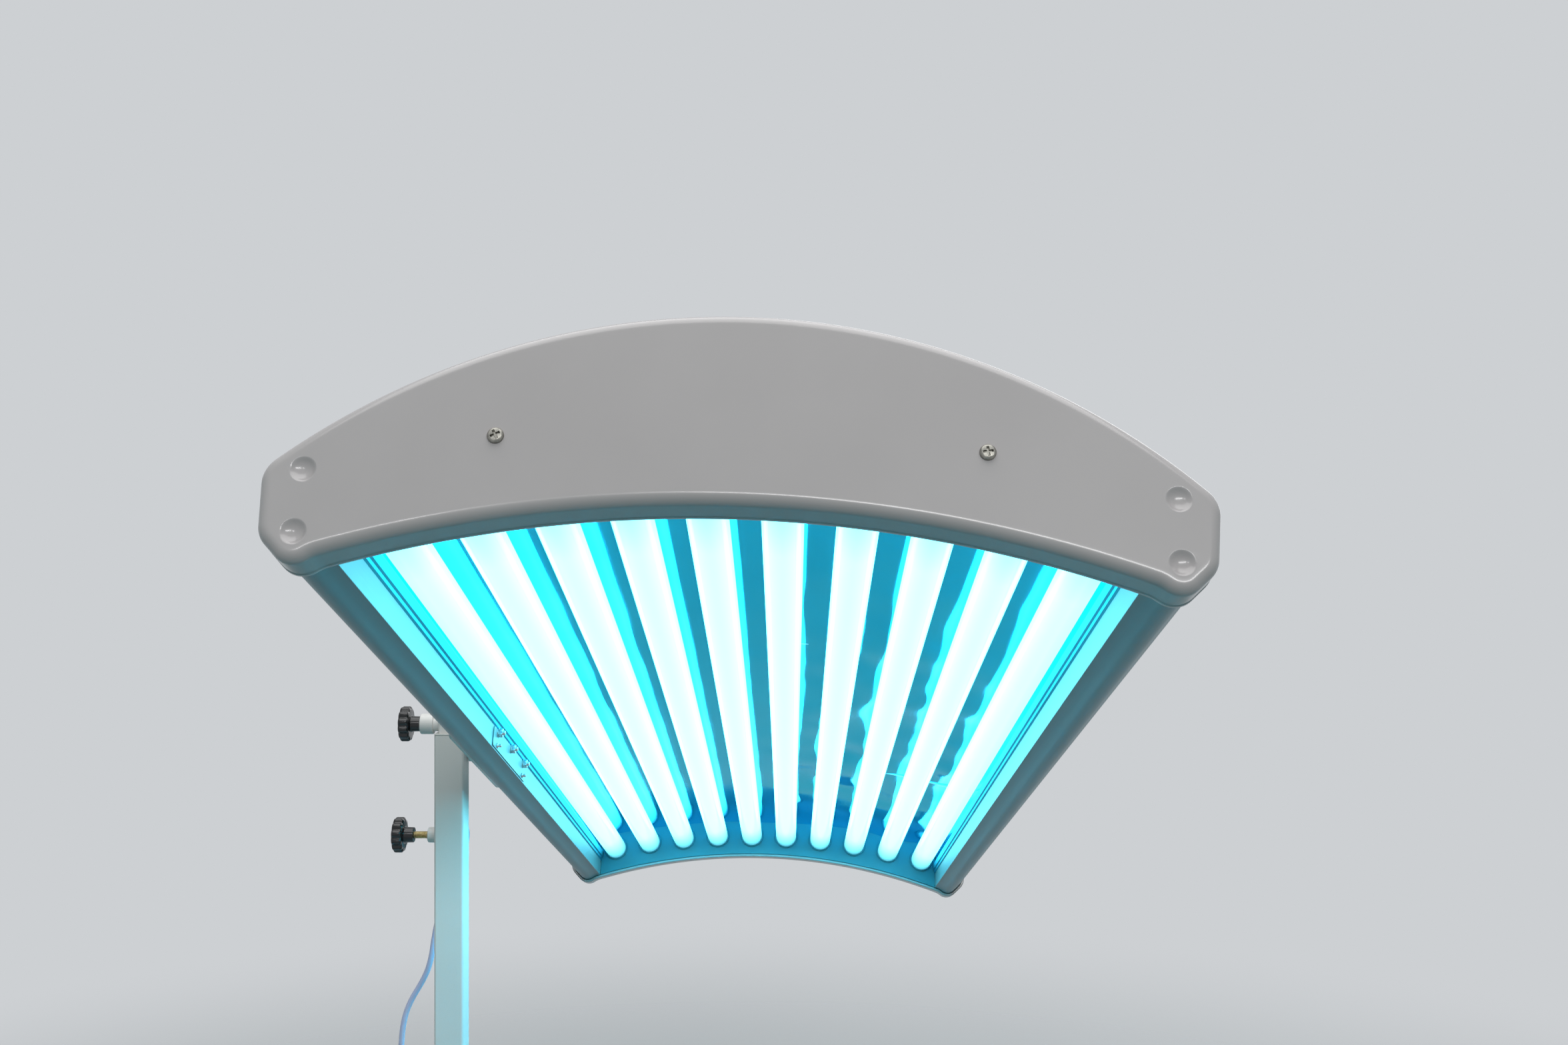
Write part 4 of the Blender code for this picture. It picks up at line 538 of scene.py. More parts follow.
def panel_outline():
    """The end wall's edge: aperture arc below, rails at the sides, skin above."""
    side_x = RAIL_INNER_X - FIT
    lip_x = SKIN_EDGE_X - LEDGE_WIDTH - FIT
    lip_under = crown_height(lip_x, LEDGE_INSET + RAIL_WALL) - LEDGE_WIDTH / 2
    floor_radius = APERTURE_RADIUS + BODY_INSET
    half = arc(APERTURE_CENTRE, floor_radius, pi / 2, acos(side_x / floor_radius), 40)
    half += [(side_x, lip_under), (lip_x, lip_under)]
    half += arc(CROWN_CENTRE, CROWN_RADIUS - LEDGE_INSET, crown_angle(lip_x, LEDGE_INSET), pi / 2, 40)
    return half + [(-x, z) for x, z in half[-2:0:-1]]


# Grey ABS: a clean semi-gloss wall. Its dark teal tone is painted lamp light and shade.
lamp_lit_panel_abs = finish("grey ABS with painted lamp light and shade", PANEL_LAMP_LIGHT_TONES, roughness=(0.3, 0.4), drift=90, grain=(1.4, 1.4, 1.4),
                   relief=0.006)
for panel_node, panel_place in (("near_lamp_panel", CANOPY_PLACE), ("far_lamp_panel", FAR_PLACE)):
    panel_shape = bmesh.new()
    mouths = [arc(lamp_place(k), LAMP_RADIUS + MOUTH_GAP, 0, 2 * pi, ROUND)[:-1] for k in range(LAMP_COUNT)]
    extrude(panel_shape, panel_outline(), PANEL_STATION - PANEL_THICKNESS, PANEL_STATION, "Y", mouths)
    collar = [(radius, PANEL_STATION + rise) for radius, rise in COLLAR_PROFILE]
    for k in range(LAMP_COUNT):
        lathe(panel_shape, collar, "Y", lamp_place(k))
    build(panel_node + "_wall", panel_shape, lamp_lit_panel_abs, "canopy", panel_place, [panel_node])

# Lamps: ten long tubes of glass coated inside with phosphor, lit, each held at both ends. The glow
# falls off over the last few centimetres, where the cathodes are.
LAMP_START = 0.0133
LAMP_CAP_LENGTH = 0.017
LAMP_CAP_RADIUS = 0.0185
GLASS_SHOULDER = 0.0006
GLASS_TONES = ("EEF3F5", "F4F8F9")
GLOW_TONE = "74EAFF"
GLOW = 3.7
GLOW_END = 0.42
GLOW_RUN = 0.15

# Phosphor coated glass: white, smooth and bright, with a blue-green light that fills the hood
glowing = finish("phosphor coated glass", GLASS_TONES, roughness=(0.10, 0.16), drift=70, grain=(60, 300, 60),
                 relief=0.0)
glow_tree = glowing.node_tree
glow_shader = glow_tree.nodes["Principled BSDF"]
glow_shader.inputs["Emission Color"].default_value = (*linear(GLOW_TONE), 1.0)
glow_axes = add_node(glow_tree, "SeparateXYZ", {0: add_node(glow_tree, "TexCoord").outputs["Object"]})
glow_level = add_node(glow_tree, "Math", operation="MULTIPLY")
for k, (start, run, full) in enumerate(((PANEL_STATION, GLOW_RUN, 1.0),
                                        (CANOPY_LENGTH - PANEL_STATION, -GLOW_RUN, GLOW))):
    glow_rise = add_node(glow_tree, "MapRange", {"Value": glow_axes.outputs["Y"], "From Min": start,
                                                 "From Max": start + run, "To Min": GLOW_END, "To Max": full})
    glow_tree.links.new(glow_rise.outputs[0], glow_level.inputs[k])
glow_tree.links.new(glow_level.outputs[0], glow_shader.inputs["Emission Strength"])
glass_start = LAMP_START + LAMP_CAP_LENGTH
lamp_half = [(0, LAMP_START), (LAMP_CAP_RADIUS, LAMP_START), (LAMP_CAP_RADIUS, glass_start),
             (LAMP_RADIUS, glass_start + GLASS_SHOULDER)]
lamp_profile = lamp_half + [(radius, CANOPY_LENGTH - along) for radius, along in lamp_half[::-1]]
for k in range(LAMP_COUNT):
    lamp_shape = bmesh.new()
    lathe(lamp_shape, lamp_profile, "Y", lamp_place(k))
    build(f"lamp_tube_{k + 1:02d}", lamp_shape, glowing, "canopy", CANOPY_PLACE,
          [f"lamp_{k + 1:02d}"])

# Top skin: one white painted aluminium sheet sprung over the formers, held to the rails' ledges by a row
# of small screws along each edge.
SKIN_THICKNESS = 0.0012
SKIN_SCREWS = 8
SKIN_SCREW_RADIUS = 0.0032
SKIN_SCREW_RISE = 0.0014
SKIN_SCREW_TURN = 0.7
SKIN_SCREW_MARGIN = 0.11
SMALL_ROUND = 32
HEAD_DOME = ((1.0, 0.0), (1.0, 0.30), (0.95, 0.55), (0.84, 0.82), (0.72, 0.95))
RECESS_ARM = 0.16
RECESS_REACH = 0.62
RECESS_FLOOR = 0.35
RECESS_TAPER = 0.7
PAINT_TONES = ("D2D3D1", "D8D9D7")
ZINC_TONES = ("A9ADAF", "C0C3C4")

# White painted sheet: an even semi-gloss coat with a faint orange peel
painted = finish("white painted sheet", PAINT_TONES, roughness=(0.28, 0.36), drift=300, grain=(1.6, 1.6, 1.6),
                 relief=0.006, coat=0.15)
skin_edge = crown_angle(SKIN_EDGE_X - FIT, BODY_INSET)
skin_shape = bmesh.new()
skin_section = arc(CROWN_CENTRE, CROWN_RADIUS - BODY_INSET, pi - skin_edge, skin_edge, 90)
skin_section += arc(CROWN_CENTRE, CROWN_RADIUS - BODY_INSET - SKIN_THICKNESS, skin_edge, pi - skin_edge, 90)
extrude(skin_shape, skin_section, BODY_START, CANOPY_LENGTH - BODY_START, "Y")
build("top_skin_sheet", skin_shape, painted, "canopy", CANOPY_PLACE, ["top_skin"])

# Bright zinc plate: cool grey metal with a slightly cloudy shine
zinc = finish("bright zinc plate", ZINC_TONES, roughness=(0.22, 0.36), drift=9, grain=(1.2, 1.2, 1.2),
              relief=0.004, metallic=1.0)


def screw_head(shape, radius, height):
    """A pan head on the z axis with a cross recess, its seat at z = 0."""
    arm = RECESS_ARM * radius
    reach = RECESS_REACH * radius
    cross = [(reach, -arm), (reach, arm), (arm, arm), (arm, reach), (-arm, reach), (-arm, arm), (-reach, arm),
             (-reach, -arm), (-arm, -arm), (-arm, -reach), (arm, -reach), (arm, -arm)]
    dome = [(across * radius, up * height) for across, up in HEAD_DOME]
    rim = lathe(shape, dome, "Z", sides=SMALL_ROUND)[-1]
    mouth = [shape.verts.new((x, y, height)) for x, y in cross]
    fill(shape, [rim, mouth])
    base = [shape.verts.new((RECESS_TAPER * x, RECESS_TAPER * y, RECESS_FLOOR * height)) for x, y in cross]
    wall(shape, mouth, base)
    shape.faces.new(base)


def join(shape, part, place):
    """Add a small part to a shape, set in its place."""
    bmesh.ops.transform(part, matrix=place, verts=part.verts)
    mesh = bpy.data.meshes.new("part")
    part.to_mesh(mesh)
    part.free()
    shape.from_mesh(mesh)
    bpy.data.meshes.remove(mesh)


for side in (-1, 1):
    screw_row = bmesh.new()
    x = side * (SKIN_EDGE_X - LEDGE_WIDTH / 2)
    lean = atan2(x, crown_height(x, BODY_INSET) - CROWN_CENTRE[1])
    for k in range(SKIN_SCREWS):
        station = SKIN_SCREW_MARGIN + (CANOPY_LENGTH - 2 * SKIN_SCREW_MARGIN) * k / (SKIN_SCREWS - 1)
        head = bmesh.new()
        screw_head(head, SKIN_SCREW_RADIUS, SKIN_SCREW_RISE)
        seat = Matrix.Translation((x, station, crown_height(x, BODY_INSET))) @ Matrix.Rotation(lean, 4, "Y")
        join(screw_row, head, seat @ Matrix.Rotation(SKIN_SCREW_TURN * k, 4, "Z"))
    row_name = "skin_screws_post_side" if side < 0 else "skin_screws_free_side"
    build(row_name, screw_row, zinc, "canopy", CANOPY_PLACE)

# End caps: deep trays moulded in light grey ABS that close both ends of the canopy. The face has a rolled
# edge, a soft dish over each corner post and two screws; a narrow bead stiffens the open rim.
CAP_DEPTH = 0.037
CAP_WALL = 0.004
CAP_EDGE = 0.010
CAP_FLAT = 0.0018
SIDE_FLARE = 0.0032
BEAD_WIDTH = 0.0055
BEAD_RISE = 0.0006
BEAD_ROUND = 0.0009
RIM_ROUND = 0.0008
RIM_INSET = 0.0002
EDGE_STEPS = 10
DISH_RADIUS = 0.0112
DISH_DEPTH = 0.0040
DISH_X = 0.3465
DISH_HEIGHTS = (0.0326, -0.0202)
DISH_PROFILE = ((1.0, 0.0), (0.95, 0.03), (0.89, 0.11), (0.82, 0.25), (0.74, 0.42), (0.64, 0.60), (0.52, 0.76),
                (0.38, 0.89), (0.2, 0.97), (0, 1.0))
ABS_TONES = ("B1ABAB", "B5AFAF")


def canopy_outline(inset):
    """The whole outline of the canopy's end, moved inwards by the inset."""
    half = arc(APERTURE_CENTRE, APERTURE_RADIUS + inset, pi / 2, APERTURE_END, 56)
    half += arc(BLEND_CENTRE, BLEND_RADIUS + inset, APERTURE_END, BLEND_END, 10)[1:]
    half += corner_run(inset, SIDE_FLARE)[1:]
    half += arc(CROWN_CENTRE, CROWN_RADIUS - inset, upper_corner(SIDE_FLARE)[2], pi / 2, 64)[1:]
    return half + [(-x, z) for x, z in half[-2:0:-1]]


def cap_rings():
    """(inset, station) of the cap's rings, from inside the tray over its rim to the flat of its face."""
    rings = [(CAP_WALL, CAP_EDGE), (CAP_WALL, CAP_DEPTH - RIM_ROUND), (CAP_WALL - RIM_ROUND, CAP_DEPTH)]
    rings += [(RIM_INSET, CAP_DEPTH), (-BEAD_RISE, CAP_DEPTH - BEAD_ROUND)]
    rings += [(-BEAD_RISE, CAP_DEPTH - BEAD_WIDTH + BEAD_ROUND), (0.0, CAP_DEPTH - BEAD_WIDTH)]
    for k in range(EDGE_STEPS + 1):
        angle = pi / 2 * k / EDGE_STEPS
        rings.append((CAP_EDGE * (1 - cos(angle)), CAP_EDGE * (1 - sin(angle))))
    return rings + [(CAP_EDGE + CAP_FLAT, 0.0)]


def loft(shape, rings, closed=True):
    """Join a run of loops, each to the next, and close both ends."""
    for lower, upper in zip(rings, rings[1:]):
        wall(shape, lower, upper)
    if closed:
        shape.faces.new(rings[0])
        shape.faces.new(rings[-1])


# Moulded ABS: light grey, glossy enough for a bright line along every rolled edge
abs_grey = finish("light grey ABS", ABS_TONES, roughness=(0.17, 0.22), drift=160, grain=(1.1, 1.1, 1.1),
                  relief=0.003, coat=0.1)
for cap_node, cap_place in (("near_end_cap", CANOPY_PLACE), ("far_end_cap", FAR_PLACE)):
    cap_shape = bmesh.new()
    cap_loops = []
    for inset, station in cap_rings():
        cap_loops.append([cap_shape.verts.new((x, station, z)) for x, z in canopy_outline(inset)])
    loft(cap_shape, cap_loops, closed=False)
    dish_mouths = []
    dish = [(DISH_RADIUS * share, DISH_DEPTH * drop) for share, drop in DISH_PROFILE]
    for side in (-1, 1):
        for height in DISH_HEIGHTS:
            dish_mouths.append(lathe(cap_shape, dish, "Y", (side * DISH_X, height))[0])
    fill(cap_shape, [cap_loops[-1], *dish_mouths])
    build(cap_node + "_moulding", cap_shape, abs_grey, "canopy", cap_place, [cap_node], sharp=50)

# Cap screws: steel pan heads with a cross recess, zinc plated. Two go through the face of each cap and
# into the lamp panel behind it.
SCREW_X = 0.1966
SCREW_HEIGHT = 0.0668
SCREW_RADIUS = 0.0068
SCREW_RISE = 0.0034
SCREW_TURNS = {"near_left": 0.5, "near_right": 0.15, "far_left": 0.9, "far_right": 0.35}
DULL_TONES = ("83827C", "9C9A92")

# Passivated zinc: grey metal gone dull and a little warm with handling
dull_zinc = finish("passivated zinc plate", DULL_TONES, roughness=(0.34, 0.5), drift=3, grain=(0.8, 0.8, 0.8),
                   relief=0.006, metallic=1.0)
for end_name, end_place in (("near", CANOPY_PLACE), ("far", FAR_PLACE)):
    for side_name, side in (("left", -1), ("right", 1)):
        head = bmesh.new()
        screw_head(head, SCREW_RADIUS, SCREW_RISE)
        seat = Matrix.Translation((side * SCREW_X, -FIT, SCREW_HEIGHT)) @ Matrix.Rotation(pi / 2, 4, "X")
        seat = seat @ Matrix.Rotation(SCREW_TURNS[end_name + "_" + side_name], 4, "Z")
        build(f"{end_name}_{side_name}_screw_head", head, dull_zinc, "canopy", end_place @ seat,
              [f"{end_name}_cap_screw_{side_name}"])

# Bracket: a flange bolted to the post side rail, a turned spacer and a link shaped arm up to the hub on
# the tilt axle, welded into one piece and powder coated white.
FLANGE_X = -0.3730
FLANGE_THICKNESS = 0.004
FLANGE_NEAR = 0.214
FLANGE_FAR = 0.120
FLANGE_TOP = 0.022
FLANGE_BOTTOM = -0.0210
FLANGE_CORNER = 0.008
ARM_LEFT = 0.0218
ARM_RIGHT = 0.0278
ARM_HUB_RADIUS = 0.028
ARM_FOOT = (0.028, -0.032)
ARM_FOOT_RADIUS = 0.014
HUB_RADIUS = 0.020
HUB_RIGHT = 0.0368
SPACER_RADIUS = 0.010
AXLE_RADIUS = 0.008
HUB_BORE = AXLE_RADIUS + FIT
LET_IN = 0.001
COATED_EDGE = 0.0007
WELD_BEAD = 0.0016
WELD_OFFSET = 0.0006
FLANGE_WELD_BEAD = 0.0018
FLANGE_WELD_OFFSET = 0.0008
WELD_SIDES = 72
WELD_STEPS = 8
WELD_RIPPLES = ((0.10, 24, 0), (0.06, 7, 1))
POWDER_TONES = ("E6E3E0", "EBE8E5")


def rounded_rectangle(half_width, half_height, corner, steps=8):
    """A rectangle with round corners, centred on the origin."""
    points = []
    for turn, (sx, sz) in enumerate(((1, 1), (-1, 1), (-1, -1), (1, -1))):
        centre = (sx * (half_width - corner), sz * (half_height - corner))
        points += arc(centre, corner, turn * pi / 2, (turn + 1) * pi / 2, steps)
    return points


def link_outline(first, first_radius, second, second_radius, steps):
    """Two circles joined by their outer tangents."""
    heading = atan2(second[1] - first[1], second[0] - first[0])
    spread = acos((first_radius - second_radius) / hypot(second[0] - first[0], second[1] - first[1]))
    points = arc(first, first_radius, heading + spread, heading + 2 * pi - spread, steps)
    return points + arc(second, second_radius, heading - spread, heading + spread, steps)


def weld(shape, axis, along, radius, bead, centre=(0, 0)):
    """A weld bead round a joint: an uneven ring of small overlapping ripples."""
    rings = []
    for k in range(WELD_STEPS + 1):
        angle = 2 * pi * k / WELD_STEPS
        ring = []
        for i in range(WELD_SIDES):
            turn = 2 * pi * i / WELD_SIDES
            swell = bead * (1 + sum(height * sin(count * turn + lag) for height, count, lag in WELD_RIPPLES))
            reach = radius + swell * cos(angle)
            u = centre[0] + reach * cos(turn)
            v = centre[1] + reach * sin(turn)
            ring.append(shape.verts.new(placed(axis, u, v, along + swell * sin(angle))))
        rings.append(ring)
    loft(shape, rings, closed=False)


# White powder coat: thick and even over sharp edges, with a fine pebbled gloss
powder = finish("white powder coat", POWDER_TONES, roughness=(0.26, 0.36), drift=200, grain=(0.9, 0.9, 0.9),
                relief=0.010)
flange_shape = bmesh.new()
flange_middle = (FLANGE_TOP + FLANGE_BOTTOM) / 2
flange_station = PIVOT_STATION + (FLANGE_FAR - FLANGE_NEAR) / 2
flange_outline = rounded_rectangle((FLANGE_NEAR + FLANGE_FAR) / 2, (FLANGE_TOP - FLANGE_BOTTOM) / 2,
                                   FLANGE_CORNER)
flange_outline = [(flange_station + y, flange_middle + z) for y, z in flange_outline]
extrude(flange_shape, flange_outline, FLANGE_X - FLANGE_THICKNESS, FLANGE_X, "X")
build("bracket_flange", flange_shape, powder, "canopy", CANOPY_PLACE, ["mounting_bracket"],
      COATED_EDGE)
arm_shape = bmesh.new()
arm_link = link_outline((0, 0), ARM_HUB_RADIUS, ARM_FOOT, ARM_FOOT_RADIUS, 40)
extrude(arm_shape, arm_link, ARM_LEFT, ARM_RIGHT, "X", [arc((0, 0), HUB_BORE, 0, 2 * pi, ROUND)[:-1]])
spacer_right = (CANOPY_REACH + FLANGE_X - FLANGE_THICKNESS / 2) * cos(SAG) + ARM_FOOT[1] * sin(SAG)
turned_start = ARM_RIGHT - LET_IN
lathe(arm_shape, [(HUB_BORE, turned_start), (HUB_BORE, HUB_RIGHT), (HUB_RADIUS, HUB_RIGHT),
                  (HUB_RADIUS, turned_start)], "X")
lathe(arm_shape, [(0, turned_start), (SPACER_RADIUS, turned_start), (SPACER_RADIUS, spacer_right),
                  (0, spacer_right)], "X", ARM_FOOT)
build("bracket_arm", arm_shape, powder, "canopy", TILT_PLACE, bevel=COATED_EDGE)
weld_shape = bmesh.new()
weld(weld_shape, "X", ARM_RIGHT, HUB_RADIUS + WELD_OFFSET, WELD_BEAD)
weld(weld_shape, "X", ARM_RIGHT, SPACER_RADIUS + WELD_OFFSET, WELD_BEAD, ARM_FOOT)
flange_face = spacer_right - FLANGE_THICKNESS / 2
weld(weld_shape, "X", flange_face, SPACER_RADIUS + FLANGE_WELD_OFFSET, FLANGE_WELD_BEAD, ARM_FOOT)
build("bracket_welds", weld_shape, powder, "canopy", TILT_PLACE, sharp=80)

# Backing plate and bolts: an aluminium plate inside the rail spreads the load of three zinc plated hexagon
# bolts, their heads on the flange and their nuts inside, and two short screws pin it along its lower edge.
BACKING_LENGTH = 0.240
BACKING_TOP = -0.0046
BACKING_BOTTOM = -0.0286
BACKING_THICKNESS = 0.0010
BACKING_CORNER = 0.004
BACKING_EDGE = 0.0004
BOLT_SPACING = 0.094
BOLT_MIDDLE = PIVOT_STATION - BOLT_SPACING
BOLT_HEIGHT = -0.0078
BOLT_RADIUS = 0.003
HEAD_RADIUS = 0.0058
HEAD_HEIGHT = 0.0040
WASHER_RADIUS = 0.0060
WASHER_THICKNESS = 0.0010
NUT_HEIGHT = 0.0049
BOLT_TIP = 0.0030
TIP_ROUND = 0.0008
HEAD_CROWN = 0.16
CROWN_SHARE = 0.86
PIN_HEIGHT = -0.0240
PIN_PROFILE = (
    (0, -0.001), (0.0034, -0.001), (0.0034, 0.0010), (0.0028, 0.0018), (0.0020, 0.0020), (0.0020, 0.0052),
    (0.0014, 0.0058), (0, 0.0058),
)


def hexagon(shape, start, end, centre):
    """A hexagon head or nut along x, its outer corners turned down as on a real one."""
    crown = end - (end - start) * HEAD_CROWN
    rings = []
    for along, radius in ((start, HEAD_RADIUS), (crown, HEAD_RADIUS), (end, CROWN_SHARE * HEAD_RADIUS)):
        ring = []
        for i in range(ROUND):
            angle = 2 * pi * i / ROUND
            flat = HEAD_RADIUS * cos(pi / 6) / cos((angle + pi / 6) % (pi / 3) - pi / 6)
            reach = min(flat, radius)
            spot = (along, centre[0] + reach * cos(angle), centre[1] + reach * sin(angle))
            ring.append(shape.verts.new(spot))
        rings.append(ring)
    loft(shape, rings)


backing_shape = bmesh.new()
backing_middle = (BACKING_TOP + BACKING_BOTTOM) / 2
backing_outline = rounded_rectangle(BACKING_LENGTH / 2, (BACKING_TOP - BACKING_BOTTOM) / 2, BACKING_CORNER)
backing_outline = [(BOLT_MIDDLE + y, backing_middle + z) for y, z in backing_outline]
backing_left = -RAIL_INNER_X + FIT
extrude(backing_shape, backing_outline, backing_left, backing_left + BACKING_THICKNESS, "X")
# The backing plate shares the rails' lacquer, with its painted lamp light and shade.
build("backing_plate_bar", backing_shape, lacquer, "canopy", CANOPY_PLACE,
      ["backing_plate"], BACKING_EDGE)
nut_seat = backing_left + BACKING_THICKNESS
nut_start = nut_seat + WASHER_THICKNESS
tip = nut_start + NUT_HEIGHT + BOLT_TIP
head_seat = FLANGE_X - FLANGE_THICKNESS
head_start = head_seat - WASHER_THICKNESS
for number in (1, 2, 3):
    bolt_centre = (BOLT_MIDDLE + (number - 2) * BOLT_SPACING, BOLT_HEIGHT)
    bolt_shape = bmesh.new()
    hexagon(bolt_shape, nut_start, nut_start + NUT_HEIGHT, bolt_centre)
    hexagon(bolt_shape, head_start, head_start - HEAD_HEIGHT, bolt_centre)
    for seat, start in ((nut_seat, nut_start), (head_seat, head_start)):
        lathe(bolt_shape, [(BOLT_RADIUS, seat), (WASHER_RADIUS, seat), (WASHER_RADIUS, start),
                           (BOLT_RADIUS, start)], "X", bolt_centre)
    lathe(bolt_shape, [(0, head_seat), (BOLT_RADIUS, head_seat), (BOLT_RADIUS, tip - TIP_ROUND),
                       (BOLT_RADIUS - TIP_ROUND, tip), (0, tip)], "X", bolt_centre)
    build(f"hexagon_bolt_{number}", bolt_shape, zinc, "canopy", CANOPY_PLACE,
          [f"bracket_bolt_{number}"], sharp=28)
pin_screws = bmesh.new()
for step in (-1, 1):
    pin_centre = (BOLT_MIDDLE + step * BOLT_SPACING, PIN_HEIGHT)
    pin_profile = [(radius, nut_seat + rise) for radius, rise in PIN_PROFILE]
    lathe(pin_screws, pin_profile, "X", pin_centre, SMALL_ROUND)
build("backing_plate_screws", pin_screws, zinc, "canopy", CANOPY_PLACE, sharp=28)
nodes["pivot_axle"].data.materials[0] = zinc

# Mast: the inner square steel tube, powder coated, closed at its top. It slides in the column, and the
# tilt axle runs through its head.
MAST_HALF = 0.015
MAST_CORNER = 0.0025
MAST_TOP = 0.022
MAST_LENGTH = 0.520
MAST_EDGE = 0.0016
MAST_PLACE = Matrix.Translation(PIVOT)


def square_tube(shape, half, corner, bottom, top, edge):
    """An upright square tube with round corners and a softened top edge."""
    rings = []
    for shrink, height in ((0.0, bottom), (0.0, top - edge), (0.3 * edge, top - 0.3 * edge), (edge, top)):
        loop = rounded_rectangle(half - shrink, half - shrink, corner)
        rings.append([shape.verts.new((x, y, height)) for x, y in loop])
    loft(shape, rings)


mast_shape = bmesh.new()
square_tube(mast_shape, MAST_HALF, MAST_CORNER, MAST_TOP - MAST_LENGTH, MAST_TOP, MAST_EDGE)
build("mast_inner_tube", mast_shape, powder, "mast", MAST_PLACE, ["mast_tube"])

# Tilt boss: a turned steel housing welded to the mast's outer side, coated with it, that the tilt knob's
# stud screws into.
FINE_ROUND = 64
BOSS_PROFILE = (
    (0, -0.0150), (0.0100, -0.0150), (0.0100, -0.0232), (0.0106, -0.0238), (0.0130, -0.0238), (0.0137, -0.0241),
    (0.0140, -0.0249), (0.0140, -0.0403), (0.0136, -0.0413), (0.0128, -0.0418), (0.0070, -0.0418),
    (0.0062, -0.0412), (0, -0.0412),
)
BOSS_WELD = {"along": -0.0155, "radius": 0.0104, "bead": 0.0014}

boss_shape = bmesh.new()
lathe(boss_shape, BOSS_PROFILE, "X", sides=FINE_ROUND)
weld(boss_shape, "X", **BOSS_WELD)
build("tilt_boss_housing", boss_shape, powder, "mast", MAST_PLACE, ["tilt_boss"], sharp=30)

# Clamp knobs: grips moulded in black phenolic with twelve shallow flutes, a round hub and a zinc plated
# steel insert that shows in the recess of the outer face and holds the stud.
KNOB_FLUTES = 12
FLUTE_DEPTH = 0.0026
FLUTE_POWER = 1.6
KNOB_STEPS = 16
KNOB_PROFILE = (
    (0.0030, 0.0003, 0.0), (0.0030, 0.0082, 0.0), (0.0024, 0.0092, 0.0), (0.0004, 0.0098, 0.0),
    (0.0, 0.0106, 0.0), (0.0, 0.0180, 0.15), (0.0003, 0.0205, 0.45), (0.0010, 0.0225, 0.80),
    (0.0020, 0.0236, 0.96), (0.0034, 0.0240, 1.0), (0.0111, 0.0240, 1.0), (0.0125, 0.0236, 0.96),
    (0.0136, 0.0225, 0.80), (0.0143, 0.0205, 0.45), (0.0145, 0.0180, 0.15), (0.0145, 0.0124, 0.0),
    (0.0150, 0.0112, 0.0), (0.0160, 0.0106, 0.0), (0.0267, 0.0103, 0.0), (0.0273, 0.0099, 0.0),
    (0.0275, 0.0092, 0.0), (0.0275, 0.0003, 0.0),
)
INSERT_PROFILE = ((0, -0.0012), (0.0036, -0.0012), (0.0044, -0.0004), (0.0044, 0.001))
TILT_HUB_END = -0.0421
HEIGHT_HUB_END = -0.0513
CLAMP_PLACE = Matrix.Translation(joints["height_knob_turn"]["pos_m"])
BLACK_TONES = ("08090A", "0E0F11")


def knob(shape, hub_end):
    """A fluted grip and its hub along x, the hub ending at the given place."""
    start = hub_end - KNOB_PROFILE[-1][0]
    count = KNOB_FLUTES * KNOB_STEPS
    rings = []
    for along, radius, share in KNOB_PROFILE:
        ring = []
        for i in range(count):
            angle = 2 * pi * i / count
            flute = FLUTE_DEPTH * share * (0.5 + 0.5 * cos(KNOB_FLUTES * angle)) ** FLUTE_POWER
            reach = radius - flute
            ring.append(shape.verts.new((start + along, reach * cos(angle), reach * sin(angle))))
        rings.append(ring)
    loft(shape, rings)


# Black phenolic moulding: deep gloss that shows each flute as a thin bright line
phenolic = finish("black phenolic moulding", BLACK_TONES, roughness=(0.14, 0.24), drift=14,
                  grain=(2.0, 2.0, 2.0), relief=0.003, coat=0.1)
for knob_node, hub_end, knob_place in (("tilt_knob", TILT_HUB_END, MAST_PLACE),
                                       ("height_knob", HEIGHT_HUB_END, CLAMP_PLACE)):
    knob_shape = bmesh.new()
    knob(knob_shape, hub_end)
    build(knob_node + "_grip", knob_shape, phenolic, knob_node, knob_place, [knob_node],
          sharp=34)
    insert_shape = bmesh.new()
    face = hub_end - KNOB_PROFILE[-1][0] + KNOB_PROFILE[0][0]
    lathe(insert_shape, [(radius, face + along) for radius, along in INSERT_PROFILE], "X")
    build(knob_node + "_insert", insert_shape, zinc, knob_node, knob_place)

# Column: the outer square steel tube of the post, powder coated, welded to the foot plate that it stands
# on. A moulded guide in its mouth steadies the mast.
COLUMN_HALF = 0.020
COLUMN_CORNER = 0.0035
COLUMN_TOP = 1.1862
COLUMN_EDGE = 0.0005
BEAM_TOP = 0.1153
PLATE_THICKNESS = 0.006
PLATE_TOP = BEAM_TOP + PLATE_THICKNESS
PLATE_HALF = 0.060
PLATE_WIDTH = 0.040
PLATE_CORNER = 0.005
PLATE_EDGE = 0.0008
GUIDE_BORE_HALF = MAST_HALF + 0.0006
GUIDE_BORE_CORNER = 0.0031
GUIDE_RISE = 0.0023
GUIDE_EDGE = 0.0005
STAND_PLACE = Matrix.Translation((PIVOT.x, PIVOT.y, 0))
GUIDE_TONES = ("D0D1CE", "D6D7D4")

column_shape = bmesh.new()
square_tube(column_shape, COLUMN_HALF, COLUMN_CORNER, PLATE_TOP, COLUMN_TOP, COLUMN_EDGE)
build("column_outer_tube", column_shape, powder, "stand", STAND_PLACE, ["column_tube"])
plate_shape = bmesh.new()
plate_outline = rounded_rectangle(PLATE_WIDTH / 2, PLATE_HALF, PLATE_CORNER)
extrude(plate_shape, plate_outline, BEAM_TOP + FIT, PLATE_TOP, "Z")
build("column_foot_plate", plate_shape, powder, "stand", STAND_PLACE, bevel=PLATE_EDGE)
guide_shape = bmesh.new()
guide_bore = rounded_rectangle(GUIDE_BORE_HALF, GUIDE_BORE_HALF, GUIDE_BORE_CORNER)
guide_rim = rounded_rectangle(COLUMN_HALF, COLUMN_HALF, COLUMN_CORNER)
extrude(guide_shape, guide_rim, COLUMN_TOP + FIT, COLUMN_TOP + GUIDE_RISE, "Z", [guide_bore])
